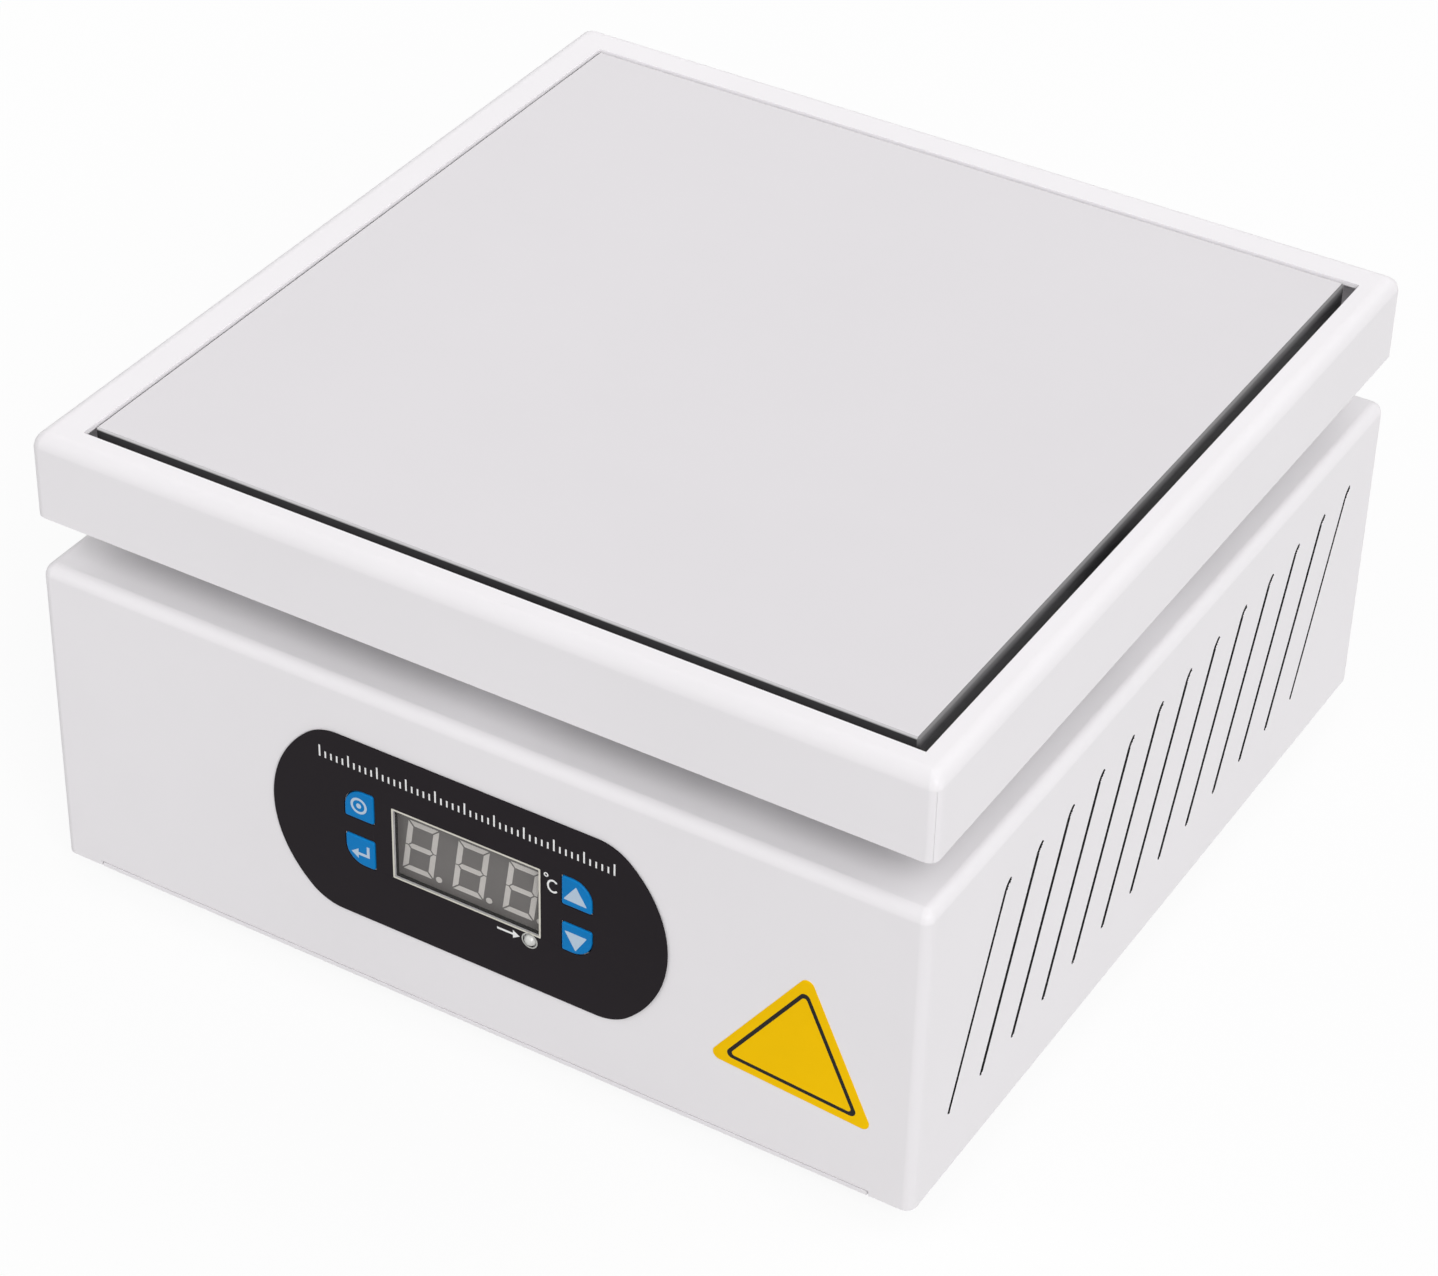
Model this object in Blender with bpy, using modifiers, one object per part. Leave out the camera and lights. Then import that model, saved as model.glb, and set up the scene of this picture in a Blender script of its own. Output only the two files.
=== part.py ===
"""PCB preheater: a constant-temperature heating platform, built piece by piece.

Blender 4.5 script. Metres, +Z up, front towards -Y. The origin is on the surface that
the feet stand on, under the middle of the housing. Driving sizes are in millimetres.
"""

import math

import bmesh
import bpy
from mathutils import Matrix, Vector

MM = 0.001

# Fits that every piece shares, in millimetres
SEAT = 0.3
SLIDE = 0.3
GLUE_FILM = 0.15

# Feet
FOOT_HEIGHT = 6.0
FOOT_TOP_D = 16.0
FOOT_TIP_D = 13.0
FOOT_RECESS_D = 7.0
FOOT_RECESS = 2.5
FOOT_INSET = 22.0

# Lower housing, folded from sheet
HOUSING_WIDTH = 220.0
HOUSING_DEPTH = 220.0
HOUSING_HEIGHT = 80.0
HOUSING_SHEET = 1.2
HOUSING_BEND = 4.0
HOUSING_CORNER = 2.4
BEND_STEPS = 4

# Louvre slots in the left and right walls
LOUVRE_PITCH = 14.0
LOUVRE_END = 14.0
LOUVRE_WIDTH = 1.3
LOUVRE_LOW = 17.3
LOUVRE_RISE = 47.6
LOUVRE_LEAN = math.radians(22.5)
LOUVRE_HOOK_RADIUS = 4.0
LOUVRE_HOOK_TURN = math.radians(38.0)
LOUVRE_SHIFT = -1.0

# Bottom plate and the rails that it is screwed to
BOTTOM_SHEET = 1.0
BOTTOM_TAB_INSET = 10.5
BOTTOM_CORNER = 3.4
RAIL_LEG = 12.0
RAIL_SHEET = 1.2
RAIL_INSET = 15.0
VENT_COUNT = 7
VENT_PITCH = 8.0
VENT_LENGTH = 34.0
VENT_WIDTH = 3.0
VENT_OFFSET = 52.0

# Hood, a picture frame with a turned-down skirt, wider at the rear and the left
HOOD_OVERHANG = 0.0
HOOD_HEIGHT = 21.0
HOOD_SHEET = 1.2
HOOD_BEND = 4.0
HOOD_CORNER = 2.4
HOOD_LIP = 6.6
HOOD_FAR_LIP = 9.3
HOOD_GAP = 13.0

# Brackets between hood and housing
BRACKET_SHEET = 1.2
BRACKET_WIDTH = 26.0
BRACKET_RISE = 11.0
BRACKET_REACH = 23.0
BRACKET_FOOT = 13.0

# Heating plate and its pillars; the gap is the one to the hood's wider lips
PLATE_GAP = 0.7
PLATE_THICKNESS = 12.0
PLATE_RECESS = 0.4
PLATE_CHAMFER = 0.5
PILLAR_D = 10.0
PILLAR_STUD_D = 4.0
PILLAR_STUD_UP = 5.0
PILLAR_STUD_DOWN = 6.0
PILLAR_INSET = 12.0

# Tubular heater, pressed into a serpentine groove
HEATER_D = 7.0
HEATER_PASSES = 6
HEATER_SIDE_MARGIN = 25.0
HEATER_END_MARGIN = 40.0
HEATER_TURN_STEPS = 7
HEATER_TAIL = 14.0
HEATER_TAIL_BEND = 10.0
HEATER_TAIL_STEPS = 5
HEATER_TAIL_END = 8.0
GROOVE_CLEAR = 0.3
TAIL_CLEAR = 0.6

# Sheets under the plate
CLAMP_SHEET = 1.5
CLAMP_MARGIN = 5.0
BOARD_THICKNESS = 5.0
SHIELD_SHEET = 1.0
SHIELD_MARGIN = 2.0
SHIELD_RIM = 7.0

# Ceramic bead on each heater end, and the lead to the terminal block
BEAD_D = 9.0
BEAD_LENGTH = 12.0
BEAD_STUD_D = 3.0
BEAD_STUD = 6.0
LEAD_D = 2.4
LEAD_POINTS = 14

# Thermocouple in the rear edge of the plate
PROBE_D = 2.4
PROBE_X = 30.0
PROBE_DEPTH = 30.0
PROBE_BEND = 3.2
PROBE_DROP = 9.0

# Control panel, placed from the middle of the housing and from its lower edge
PANEL_X = 0.65
PANEL_Z = 42.5
OVERLAY_WIDTH = 99.8
OVERLAY_HEIGHT = 47.9
OVERLAY_THICKNESS = 0.4
OVERLAY_END_RADIUS = 28.0
OVERLAY_CORNER_RADIUS = 12.0
OVERLAY_STEPS = 5

# Three-digit display behind its window
WINDOW_WIDTH = 37.6
WINDOW_HEIGHT = 18.8
DISPLAY_HOLE_WIDTH = 36.9
DISPLAY_HOLE_HEIGHT = 18.5
WINDOW_RISE = 0.4
WINDOW_CLEAR = 0.2
MODULE_WIDTH = 37.6
MODULE_HEIGHT = 19.0
MODULE_DEPTH = 8.0
MODULE_SETBACK = 1.4
DIGIT_COUNT = 3
DIGIT_PITCH = 12.8
DIGIT_WIDTH = 7.9
DIGIT_HEIGHT = 14.0
DIGIT_DROP = 0.5
DIGIT_SLANT = math.radians(8.0)
SEGMENT_WIDTH = 1.4
SEGMENT_GAP = 0.25
SEGMENT_POCKET = 0.3
POINT_D = 1.7
POINT_APART = 1.45

# Keys, each on a tact switch
KEY_WIDTH = 7.4
KEY_HEIGHT = 7.5
KEY_SPREAD = 55.0
KEY_SHIFT = 0.35
KEY_PITCH = 12.45
KEY_RISE = 0.75
KEY_ROUND = 4.8
KEY_CORNER = 0.5
KEY_PROUD = 0.2
KEY_TRAVEL = 0.4
KEY_FLANGE = 1.0
KEY_FLANGE_LIP = 0.8
KEY_CLEAR = 0.25
TACT_SIZE = 6.0
TACT_HEIGHT = 3.5
PLUNGER_D = 3.4
PLUNGER_IN_WELL = 1.3

# Output lamp
LED_D = 3.0
LED_PROUD = 0.9
LED_CLEAR = 0.15
LED_X = 16.0
LED_Z = -11.3

# Control board and the weld studs that hold it
CONTROL_BOARD_WIDTH = 94.0
CONTROL_BOARD_HEIGHT = 36.0
BOARD_SHEET = 1.6
STUD_D = 5.0
STUD_INSET = 4.0

# Appliance inlet with a fuse drawer, in the rear wall
INLET_X = -46.0
INLET_Z = 32.0
INLET_FLANGE_WIDTH = 31.0
INLET_FLANGE_HEIGHT = 37.0
INLET_FLANGE = 2.4
INLET_BODY_WIDTH = 27.0
INLET_BODY_HEIGHT = 32.0
INLET_BODY_DEPTH = 24.0
SOCKET_WIDTH = 24.0
SOCKET_HEIGHT = 16.5
SOCKET_CHAMFER = 4.5
SOCKET_DEPTH = 17.0
SOCKET_RISE = 6.0
PIN_WIDTH = 2.0
PIN_HEIGHT = 4.0
PIN_LENGTH = 14.5
PIN_SPREAD = 7.0
PIN_EARTH_RISE = 4.0
PIN_TAIL = 9.0
DRAWER_WIDTH = 21.0
DRAWER_HEIGHT = 7.6
DRAWER_DEPTH = 21.0
DRAWER_DROP = 10.6
DRAWER_FACE_WIDTH = 23.0
DRAWER_FACE_HEIGHT = 9.0
DRAWER_FACE = 1.4
FUSE_D = 5.2
FUSE_LENGTH = 16.0
FUSE_CAP = 4.0

# Rocker switch beside the inlet
SWITCH_X = -14.0
SWITCH_Z = 32.0
SWITCH_FLANGE_WIDTH = 15.0
SWITCH_FLANGE_HEIGHT = 21.0
SWITCH_FLANGE = 1.5
SWITCH_BODY_WIDTH = 12.6
SWITCH_BODY_HEIGHT = 18.8
SWITCH_BODY_DEPTH = 14.0
ROCKER_WIDTH = 9.8
ROCKER_LENGTH = 16.0
ROCKER_END = 2.6
ROCKER_MIDDLE = 1.6
ROCKER_BELLY = 4.5
ROCKER_TILT = math.radians(10.0)
ROCKER_CLEAR = 0.4
ROCKER_PIN_D = 2.6
ROCKER_PIN_OUT = 0.8

# Power board and what it carries, on the bottom plate
POWER_X = 34.0
POWER_Y = -14.0
POWER_WIDTH = 92.0
POWER_DEPTH = 66.0
BOSS_D = 6.0
BOSS_HEIGHT = 6.0
BOSS_INSET = 5.0
TRANSFORMER_WIDTH = 40.0
TRANSFORMER_DEPTH = 24.0
TRANSFORMER_HEIGHT = 33.0
TRANSFORMER_X = 20.0
BOBBIN_WIDTH = 26.0
BOBBIN_DEPTH = 34.0
BOBBIN_HEIGHT = 22.0
RELAY_WIDTH = 15.5
RELAY_DEPTH = 28.0
RELAY_HEIGHT = 20.0
RELAY_X = -28.0
BLOCK_X = 20.0
BLOCK_FROM_REAR = 52.0
BLOCK_WAYS = 6
BLOCK_PITCH = 10.0
BLOCK_DEPTH = 20.0
BLOCK_HEIGHT = 16.0
BLOCK_ENTRY = 5.0
EARTH_X = -82.0
EARTH_FROM_REAR = 26.0
EARTH_D = 5.0
EARTH_NUT_D = 9.0
EARTH_HEIGHT = 14.0

# Spans, levels and faces that follow from the sizes above
HOOD_WIDTH = HOUSING_WIDTH + 2 * HOOD_OVERHANG
HOOD_DEPTH = HOUSING_DEPTH + 2 * HOOD_OVERHANG
OPENING_WIDTH = HOOD_WIDTH - HOOD_LIP - HOOD_FAR_LIP
OPENING_DEPTH = HOOD_DEPTH - HOOD_LIP - HOOD_FAR_LIP
OPENING_SHIFT = (HOOD_FAR_LIP - HOOD_LIP) / 2
PLATE_WIDTH = HOOD_WIDTH - 2 * (HOOD_FAR_LIP + PLATE_GAP)
PLATE_DEPTH = HOOD_DEPTH - 2 * (HOOD_FAR_LIP + PLATE_GAP)
HEATER_PITCH = (PLATE_WIDTH - 2 * HEATER_SIDE_MARGIN) / (HEATER_PASSES - 1)
HEATER_RUN = PLATE_DEPTH - 2 * HEATER_END_MARGIN
PILLAR_X = 2 * HEATER_PITCH
PILLAR_Y = PLATE_DEPTH / 2 - PILLAR_INSET
BOTTOM_TAB_WIDTH = HOUSING_WIDTH - 2 * BOTTOM_TAB_INSET
RAIL_LENGTH = HOUSING_DEPTH - 2 * RAIL_INSET
BLOCK_Y = HOUSING_DEPTH / 2 - BLOCK_FROM_REAR
EARTH_Y = HOUSING_DEPTH / 2 - EARTH_FROM_REAR
HOUSING_LOW = FOOT_HEIGHT
HOUSING_TOP = HOUSING_LOW + HOUSING_HEIGHT
HOOD_LOW = HOUSING_TOP + HOOD_GAP
HOOD_TOP = HOOD_LOW + HOOD_HEIGHT
PLATE_TOP = HOOD_TOP - PLATE_RECESS
PLATE_LOW = PLATE_TOP - PLATE_THICKNESS
HEATER_Z = PLATE_LOW + HEATER_D / 2
CLAMP_TOP = PLATE_LOW - SEAT
BOARD_TOP = CLAMP_TOP - CLAMP_SHEET - SEAT
SHIELD_TOP = BOARD_TOP - BOARD_THICKNESS - SEAT
SHIELD_LOW = SHIELD_TOP - SHIELD_SHEET
BRACKET_TOP = SHIELD_LOW - SEAT
BOTTOM_TOP = HOUSING_LOW + BOTTOM_SHEET
FRONT = -HOUSING_DEPTH / 2
FRONT_INSIDE = FRONT + HOUSING_SHEET
REAR = HOUSING_DEPTH / 2
OVERLAY_FACE = FRONT - GLUE_FILM - OVERLAY_THICKNESS
MODULE_FACE = FRONT + MODULE_SETBACK
CONTROL_BOARD_FACE = MODULE_FACE + MODULE_DEPTH + SEAT
PANEL_MIDDLE_Z = HOUSING_LOW + PANEL_Z
WINDOW_Z = PANEL_MIDDLE_Z + WINDOW_RISE
POWER_BOARD_TOP = BOTTOM_TOP + BOSS_HEIGHT + SEAT + BOARD_SHEET

# Turns that lay a flat outline or an upright turned piece against a wall
FACING_FRONT = (math.radians(90), 0.0, 0.0)
FACING_REAR = (math.radians(90), 0.0, math.radians(180))
FACING_RIGHT = (math.radians(90), 0.0, math.radians(90))
UPRIGHT = (0.0, 0.0, 0.0)

for old in list(bpy.data.objects):
    bpy.data.objects.remove(old, do_unlink=True)

parts = bpy.data.collections.new("pcb_preheater")
cutters = bpy.data.collections.new("cutters")
bpy.context.scene.collection.children.link(parts)
bpy.context.scene.collection.children.link(cutters)


def millimetres(values):
    return [value * MM for value in values]


def finish(obj, colour, roughness, metallic=0.0):
    """Give a piece its own Principled material."""
    material = bpy.data.materials.new(obj.name + "_finish")
    material.use_nodes = True
    shader = material.node_tree.nodes["Principled BSDF"]
    shader.inputs["Base Color"].default_value = (*colour, 1.0)
    shader.inputs["Roughness"].default_value = roughness
    shader.inputs["Metallic"].default_value = metallic
    obj.data.materials.clear()
    obj.data.materials.append(material)
    return obj


def place(obj, location, rotation=UPRIGHT):
    obj.location = millimetres(location)
    obj.rotation_euler = rotation
    parts.objects.link(obj)
    return obj


def block(name, size, centre):
    """A box of the given size about its centre."""
    mesh = bpy.data.meshes.new(name)
    bm = bmesh.new()
    bmesh.ops.create_cube(bm, size=1.0)
    bmesh.ops.scale(bm, vec=millimetres(size), verts=bm.verts)
    bm.to_mesh(mesh)
    bm.free()
    return place(bpy.data.objects.new(name, mesh), centre)


def span(name, low, high):
    """A box between two corners."""
    size = [b - a for a, b in zip(low, high)]
    centre = [(a + b) / 2 for a, b in zip(low, high)]
    return block(name, size, centre)


def turned(name, profile, location, rotation=UPRIGHT, steps=16):
    """A turned piece from (radius, height) points that run down its outer side."""
    mesh = bpy.data.meshes.new(name)
    points = [(radius * MM, 0.0, height * MM) for radius, height in profile]
    mesh.from_pydata(points, [(i, i + 1) for i in range(len(points) - 1)], [])
    obj = place(bpy.data.objects.new(name, mesh), location, rotation)
    screw = obj.modifiers.new("turn", "SCREW")
    screw.steps = steps
    screw.render_steps = steps
    screw.use_merge_vertices = True
    screw.merge_threshold = 0.00001
    return obj


def baked(curve_object):
    """Turn a curve object into a welded mesh object at the same place."""
    bpy.context.view_layer.update()
    graph = bpy.context.evaluated_depsgraph_get()
    mesh = bpy.data.meshes.new_from_object(curve_object.evaluated_get(graph))
    name = curve_object.name
    matrix = curve_object.matrix_world.copy()
    bpy.data.objects.remove(curve_object, do_unlink=True)
    bm = bmesh.new()
    bm.from_mesh(mesh)
    bmesh.ops.remove_doubles(bm, verts=bm.verts, dist=0.000001)
    bmesh.ops.recalc_face_normals(bm, faces=bm.faces)
    bm.to_mesh(mesh)
    bm.free()
    obj = bpy.data.objects.new(name, mesh)
    parts.objects.link(obj)
    obj.matrix_world = matrix
    return obj


def outline(name, loops, thickness, location, rotation=UPRIGHT):
    """A flat sheet: the first loop is its edge, the others are holes."""
    curve = bpy.data.curves.new(name, "CURVE")
    curve.dimensions = "2D"
    curve.fill_mode = "BOTH"
    curve.extrude = thickness / 2 * MM
    for loop in loops:
        spline = curve.splines.new("POLY")
        spline.points.add(len(loop) - 1)
        for point, (x, y) in zip(spline.points, loop):
            point.co = (x * MM, y * MM, 0.0, 1.0)
        spline.use_cyclic_u = True
    return baked(place(bpy.data.objects.new(name, curve), location, rotation))


def tube(name, points, diameter, resolution=2, profile=None):
    """A swept tube through the given points, or a swept profile."""
    curve = bpy.data.curves.new(name, "CURVE")
    curve.dimensions = "3D"
    curve.twist_mode = "Z_UP"
    spline = curve.splines.new("POLY")
    spline.points.add(len(points) - 1)
    for point, place_mm in zip(spline.points, points):
        point.co = (*millimetres(place_mm), 1.0)
    if profile is None:
        curve.bevel_depth = diameter / 2 * MM
        curve.bevel_resolution = resolution
    else:
        curve.bevel_mode = "OBJECT"
        curve.bevel_object = profile
    curve.use_fill_caps = True
    return baked(place(bpy.data.objects.new(name, curve), (0, 0, 0)))


def rounded(obj, width, segments=2, angle=30.0):
    bevel = obj.modifiers.new("rounding", "BEVEL")
    bevel.width = width * MM
    bevel.segments = segments
    bevel.limit_method = "ANGLE"
    bevel.angle_limit = math.radians(angle)
    return obj


def combine(target, tool, operation="DIFFERENCE"):
    """Cut a tool out of a piece, or join it on, and put the tool away."""
    boolean = target.modifiers.new(tool.name, "BOOLEAN")
    boolean.operation = operation
    boolean.solver = "EXACT"
    boolean.object = tool
    parts.objects.unlink(tool)
    cutters.objects.link(tool)
    tool.hide_render = True
    tool.display_type = "WIRE"
    return target


def circle(diameter, steps=16, centre=(0.0, 0.0)):
    turn = 2 * math.pi / steps
    radius = diameter / 2
    return [
        (centre[0] + radius * math.cos(turn * i), centre[1] + radius * math.sin(turn * i))
        for i in range(steps)
    ]


def arc(centre, radius, start, end, steps):
    """Points on an arc, both ends included; angles in radians."""
    return [
        (
            centre[0] + radius * math.cos(start + (end - start) * i / steps),
            centre[1] + radius * math.sin(start + (end - start) * i / steps),
        )
        for i in range(steps + 1)
    ]


def corner_rectangle(width, height, radii, centre=(0.0, 0.0), steps=4):
    """A rectangle whose corners have their own radii, from the lower left, anticlockwise."""
    points = []
    signs = [(-1, -1), (1, -1), (1, 1), (-1, 1)]
    for turn, ((sx, sy), radius) in enumerate(zip(signs, radii)):
        middle = (
            centre[0] + sx * (width / 2 - radius),
            centre[1] + sy * (height / 2 - radius),
        )
        start = math.radians(180 + 90 * turn)
        if radius > 0:
            points += arc(middle, radius, start, start + math.pi / 2, steps)
        else:
            points.append(middle)
    return points


def rectangle(width, height, radius=0.0, centre=(0.0, 0.0), steps=4):
    return corner_rectangle(width, height, [radius] * 4, centre, steps)


def folded_shell(name, width, depth, height, sheet, bend, corner, low):
    """A folded box that is open below, with wide bends above and tighter upright corners."""
    mesh = bpy.data.meshes.new(name)
    bm = bmesh.new()
    bmesh.ops.create_cube(bm, size=1.0)
    bmesh.ops.scale(bm, vec=millimetres((width, depth, height)), verts=bm.verts)
    under = [face for face in bm.faces if face.normal.z < -0.5]
    bmesh.ops.delete(bm, geom=under, context="FACES_ONLY")
    bm.to_mesh(mesh)
    bm.free()
    shell = place(bpy.data.objects.new(name, mesh), (0, 0, low + height / 2))
    weights = mesh.attributes.new("bevel_weight_edge", "FLOAT", "EDGE")
    for edge, weight in zip(mesh.edges, weights.data):
        start, end = (mesh.vertices[index].co for index in edge.vertices)
        upright = abs(start.z - end.z) > MM
        upper = min(start.z, end.z) > 0
        weight.value = corner / bend if upright else float(upper)
    rounded(shell, bend, BEND_STEPS).modifiers["rounding"].limit_method = "WEIGHT"
    wall = shell.modifiers.new("sheet", "SOLIDIFY")
    wall.thickness = sheet * MM
    wall.offset = -1.0
    wall.use_even_offset = True
    return shell


def slot_outline(path, width):
    """A slot of one width along a path, with round ends."""
    half = width / 2
    left = []
    right = []
    for i, (x, y) in enumerate(path):
        before = path[max(i - 1, 0)]
        after = path[min(i + 1, len(path) - 1)]
        heading = math.atan2(after[1] - before[1], after[0] - before[0])
        left.append((x - half * math.sin(heading), y + half * math.cos(heading)))
        right.append((x + half * math.sin(heading), y - half * math.cos(heading)))
    first = math.atan2(path[1][1] - path[0][1], path[1][0] - path[0][0])
    last = math.atan2(path[-1][1] - path[-2][1], path[-1][0] - path[-2][0])
    tip = arc(path[-1], half, last - math.pi / 2, last + math.pi / 2, 4)[1:-1]
    tail = arc(path[0], half, first + math.pi / 2, first + 3 * math.pi / 2, 4)[1:-1]
    return right + tip + left[::-1] + tail


def louvre_path():
    """The middle line of one louvre: a leaning slot whose upper end hooks to the rear."""
    lean = math.pi / 2 - LOUVRE_LEAN
    hook_end = lean - LOUVRE_HOOK_TURN
    hook_rise = LOUVRE_HOOK_RADIUS * (math.cos(hook_end) - math.cos(lean))
    straight = (LOUVRE_RISE - hook_rise) / math.sin(lean)
    top = (straight * math.cos(lean), straight * math.sin(lean))
    middle = (
        top[0] + LOUVRE_HOOK_RADIUS * math.sin(lean),
        top[1] - LOUVRE_HOOK_RADIUS * math.cos(lean),
    )
    hook = arc(middle, LOUVRE_HOOK_RADIUS, lean + math.pi / 2, hook_end + math.pi / 2, 3)
    return [(0.0, 0.0)] + hook


def louvre_cutter(name, side):
    """A row of louvre slots through one side wall."""
    path = louvre_path()
    more = int((HOUSING_DEPTH - 2 * LOUVRE_END - path[-1][0]) / LOUVRE_PITCH)
    reach = path[-1][0] + LOUVRE_PITCH * more
    start = (side * HOUSING_WIDTH / 2, LOUVRE_SHIFT - reach / 2, HOUSING_LOW + LOUVRE_LOW)
    row = outline(name, [slot_outline(path, LOUVRE_WIDTH)], 4 * HOUSING_SHEET, start, FACING_RIGHT)
    array = row.modifiers.new("row", "ARRAY")
    array.count = more + 1
    array.use_relative_offset = False
    array.use_constant_offset = True
    array.constant_offset_displace = (LOUVRE_PITCH * MM, 0.0, 0.0)
    return row


def key_outline(side, level, grow=0.0):
    """A key whose outer, far corner is widely rounded."""
    radii = [KEY_CORNER + grow] * 4
    corner = {(-1, -1): 0, (1, -1): 1, (1, 1): 2, (-1, 1): 3}[(side, level)]
    radii[corner] = KEY_ROUND + grow
    return corner_rectangle(KEY_WIDTH + 2 * grow, KEY_HEIGHT + 2 * grow, radii)


def shifted(loop, dx, dy):
    return [(x + dx, y + dy) for x, y in loop]


def rotated(loop, angle):
    cos = math.cos(angle)
    sin = math.sin(angle)
    return [(x * cos - y * sin, x * sin + y * cos) for x, y in loop]


def overlay_outline():
    """A flat-topped oval: two bulged ends joined to the straight edges by corner arcs."""
    half_width = OVERLAY_WIDTH / 2
    half_height = OVERLAY_HEIGHT / 2
    rise = half_height - OVERLAY_CORNER_RADIUS
    between = OVERLAY_END_RADIUS - OVERLAY_CORNER_RADIUS
    end_x = half_width - OVERLAY_END_RADIUS
    corner_x = end_x + math.sqrt(between**2 - rise**2)
    turn = math.asin(rise / between)
    quarter = []
    quarter += arc((end_x, 0.0), OVERLAY_END_RADIUS, 0.0, turn, OVERLAY_STEPS)
    quarter += arc((corner_x, rise), OVERLAY_CORNER_RADIUS, turn, math.pi / 2, OVERLAY_STEPS)[1:]
    upper = quarter + [(-x, y) for x, y in quarter[::-1]]
    lower = [(x, -y) for x, y in upper[::-1]][1:-1]
    return upper + lower


def serpentine(low_y, high_y):
    """The plan of the heater: straight passes joined by half turns, from left to right."""
    radius = HEATER_PITCH / 2
    run = HEATER_RUN / 2
    first = -HEATER_PITCH * (HEATER_PASSES - 1) / 2
    points = [(first, low_y)]
    for i in range(HEATER_PASSES - 1):
        middle_x = first + HEATER_PITCH * (i + 0.5)
        front = i % 2 == 0
        start, end = (math.pi, 2 * math.pi) if front else (math.pi, 0.0)
        points += arc((middle_x, -run if front else run), radius, start, end, HEATER_TURN_STEPS)
    points.append((first + HEATER_PITCH * (HEATER_PASSES - 1), high_y))
    return points


HEATER_END_X = HEATER_PITCH * (HEATER_PASSES - 1) / 2
HEATER_END_Y = HEATER_RUN / 2 + HEATER_TAIL + HEATER_TAIL_BEND
HEATER_END_Z = HOUSING_TOP - HOUSING_SHEET - HEATER_TAIL_END


def heater_path():
    """The heater's middle line, whose two tails turn down through the housing's top."""
    tail_start = HEATER_END_Y - HEATER_TAIL_BEND
    flat = [(x, y, HEATER_Z) for x, y in serpentine(tail_start, tail_start)]
    bend = arc((0.0, 0.0), HEATER_TAIL_BEND, math.pi / 2, 0.0, HEATER_TAIL_STEPS)
    drop = [
        (tail_start + x, HEATER_Z - HEATER_TAIL_BEND + y) for x, y in bend[1:]
    ] + [(HEATER_END_Y, HEATER_END_Z)]
    left = [(-HEATER_END_X, y, z) for y, z in drop[::-1]]
    right = [(HEATER_END_X, y, z) for y, z in drop]
    return left + flat + right


def groove_cutter():
    """The U-shaped groove that the heater is pressed into."""
    radius = HEATER_D / 2 + GROOVE_CLEAR
    depth = HEATER_D / 2 + 2.0
    curve = bpy.data.curves.new("groove_section", "CURVE")
    curve.dimensions = "2D"
    spline = curve.splines.new("POLY")
    section = arc((0.0, 0.0), radius, 0.0, math.pi, 6) + [(-radius, -depth), (radius, -depth)]
    spline.points.add(len(section) - 1)
    for point, (x, y) in zip(spline.points, section):
        point.co = (x * MM, y * MM, 0.0, 1.0)
    spline.use_cyclic_u = True
    section_object = bpy.data.objects.new("groove_section", curve)
    cutters.objects.link(section_object)
    section_object.hide_render = True
    section_object.display_type = "WIRE"
    end_y = HEATER_END_Y + radius
    path = [(x, y, HEATER_Z) for x, y in serpentine(end_y, end_y)]
    return tube("groove_cutter", path, HEATER_D, profile=section_object)


def pillar_places():
    return [
        ("front_left", -PILLAR_X, -PILLAR_Y),
        ("front_right", PILLAR_X, -PILLAR_Y),
        ("rear_left", -PILLAR_X, PILLAR_Y),
        ("rear_right", PILLAR_X, PILLAR_Y),
    ]


def foot_places():
    x = HOUSING_WIDTH / 2 - FOOT_INSET
    y = HOUSING_DEPTH / 2 - FOOT_INSET
    return [
        ("front_left", -x, -y),
        ("front_right", x, -y),
        ("rear_left", -x, y),
        ("rear_right", x, y),
    ]


def key_places():
    """Name, side and level of each key, and its middle on the panel."""
    places = []
    for name, side, level in (
        ("key_set", -1, 1),
        ("key_enter", -1, -1),
        ("key_up", 1, 1),
        ("key_down", 1, -1),
    ):
        x = PANEL_X + KEY_SHIFT + side * KEY_SPREAD / 2
        z = PANEL_MIDDLE_Z + KEY_RISE + level * KEY_PITCH / 2
        places.append((name, side, level, x, z))
    return places


WHITE = (0.74, 0.73, 0.745)
STEEL = (0.55, 0.56, 0.58)
BLACK = (0.02, 0.02, 0.022)


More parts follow.
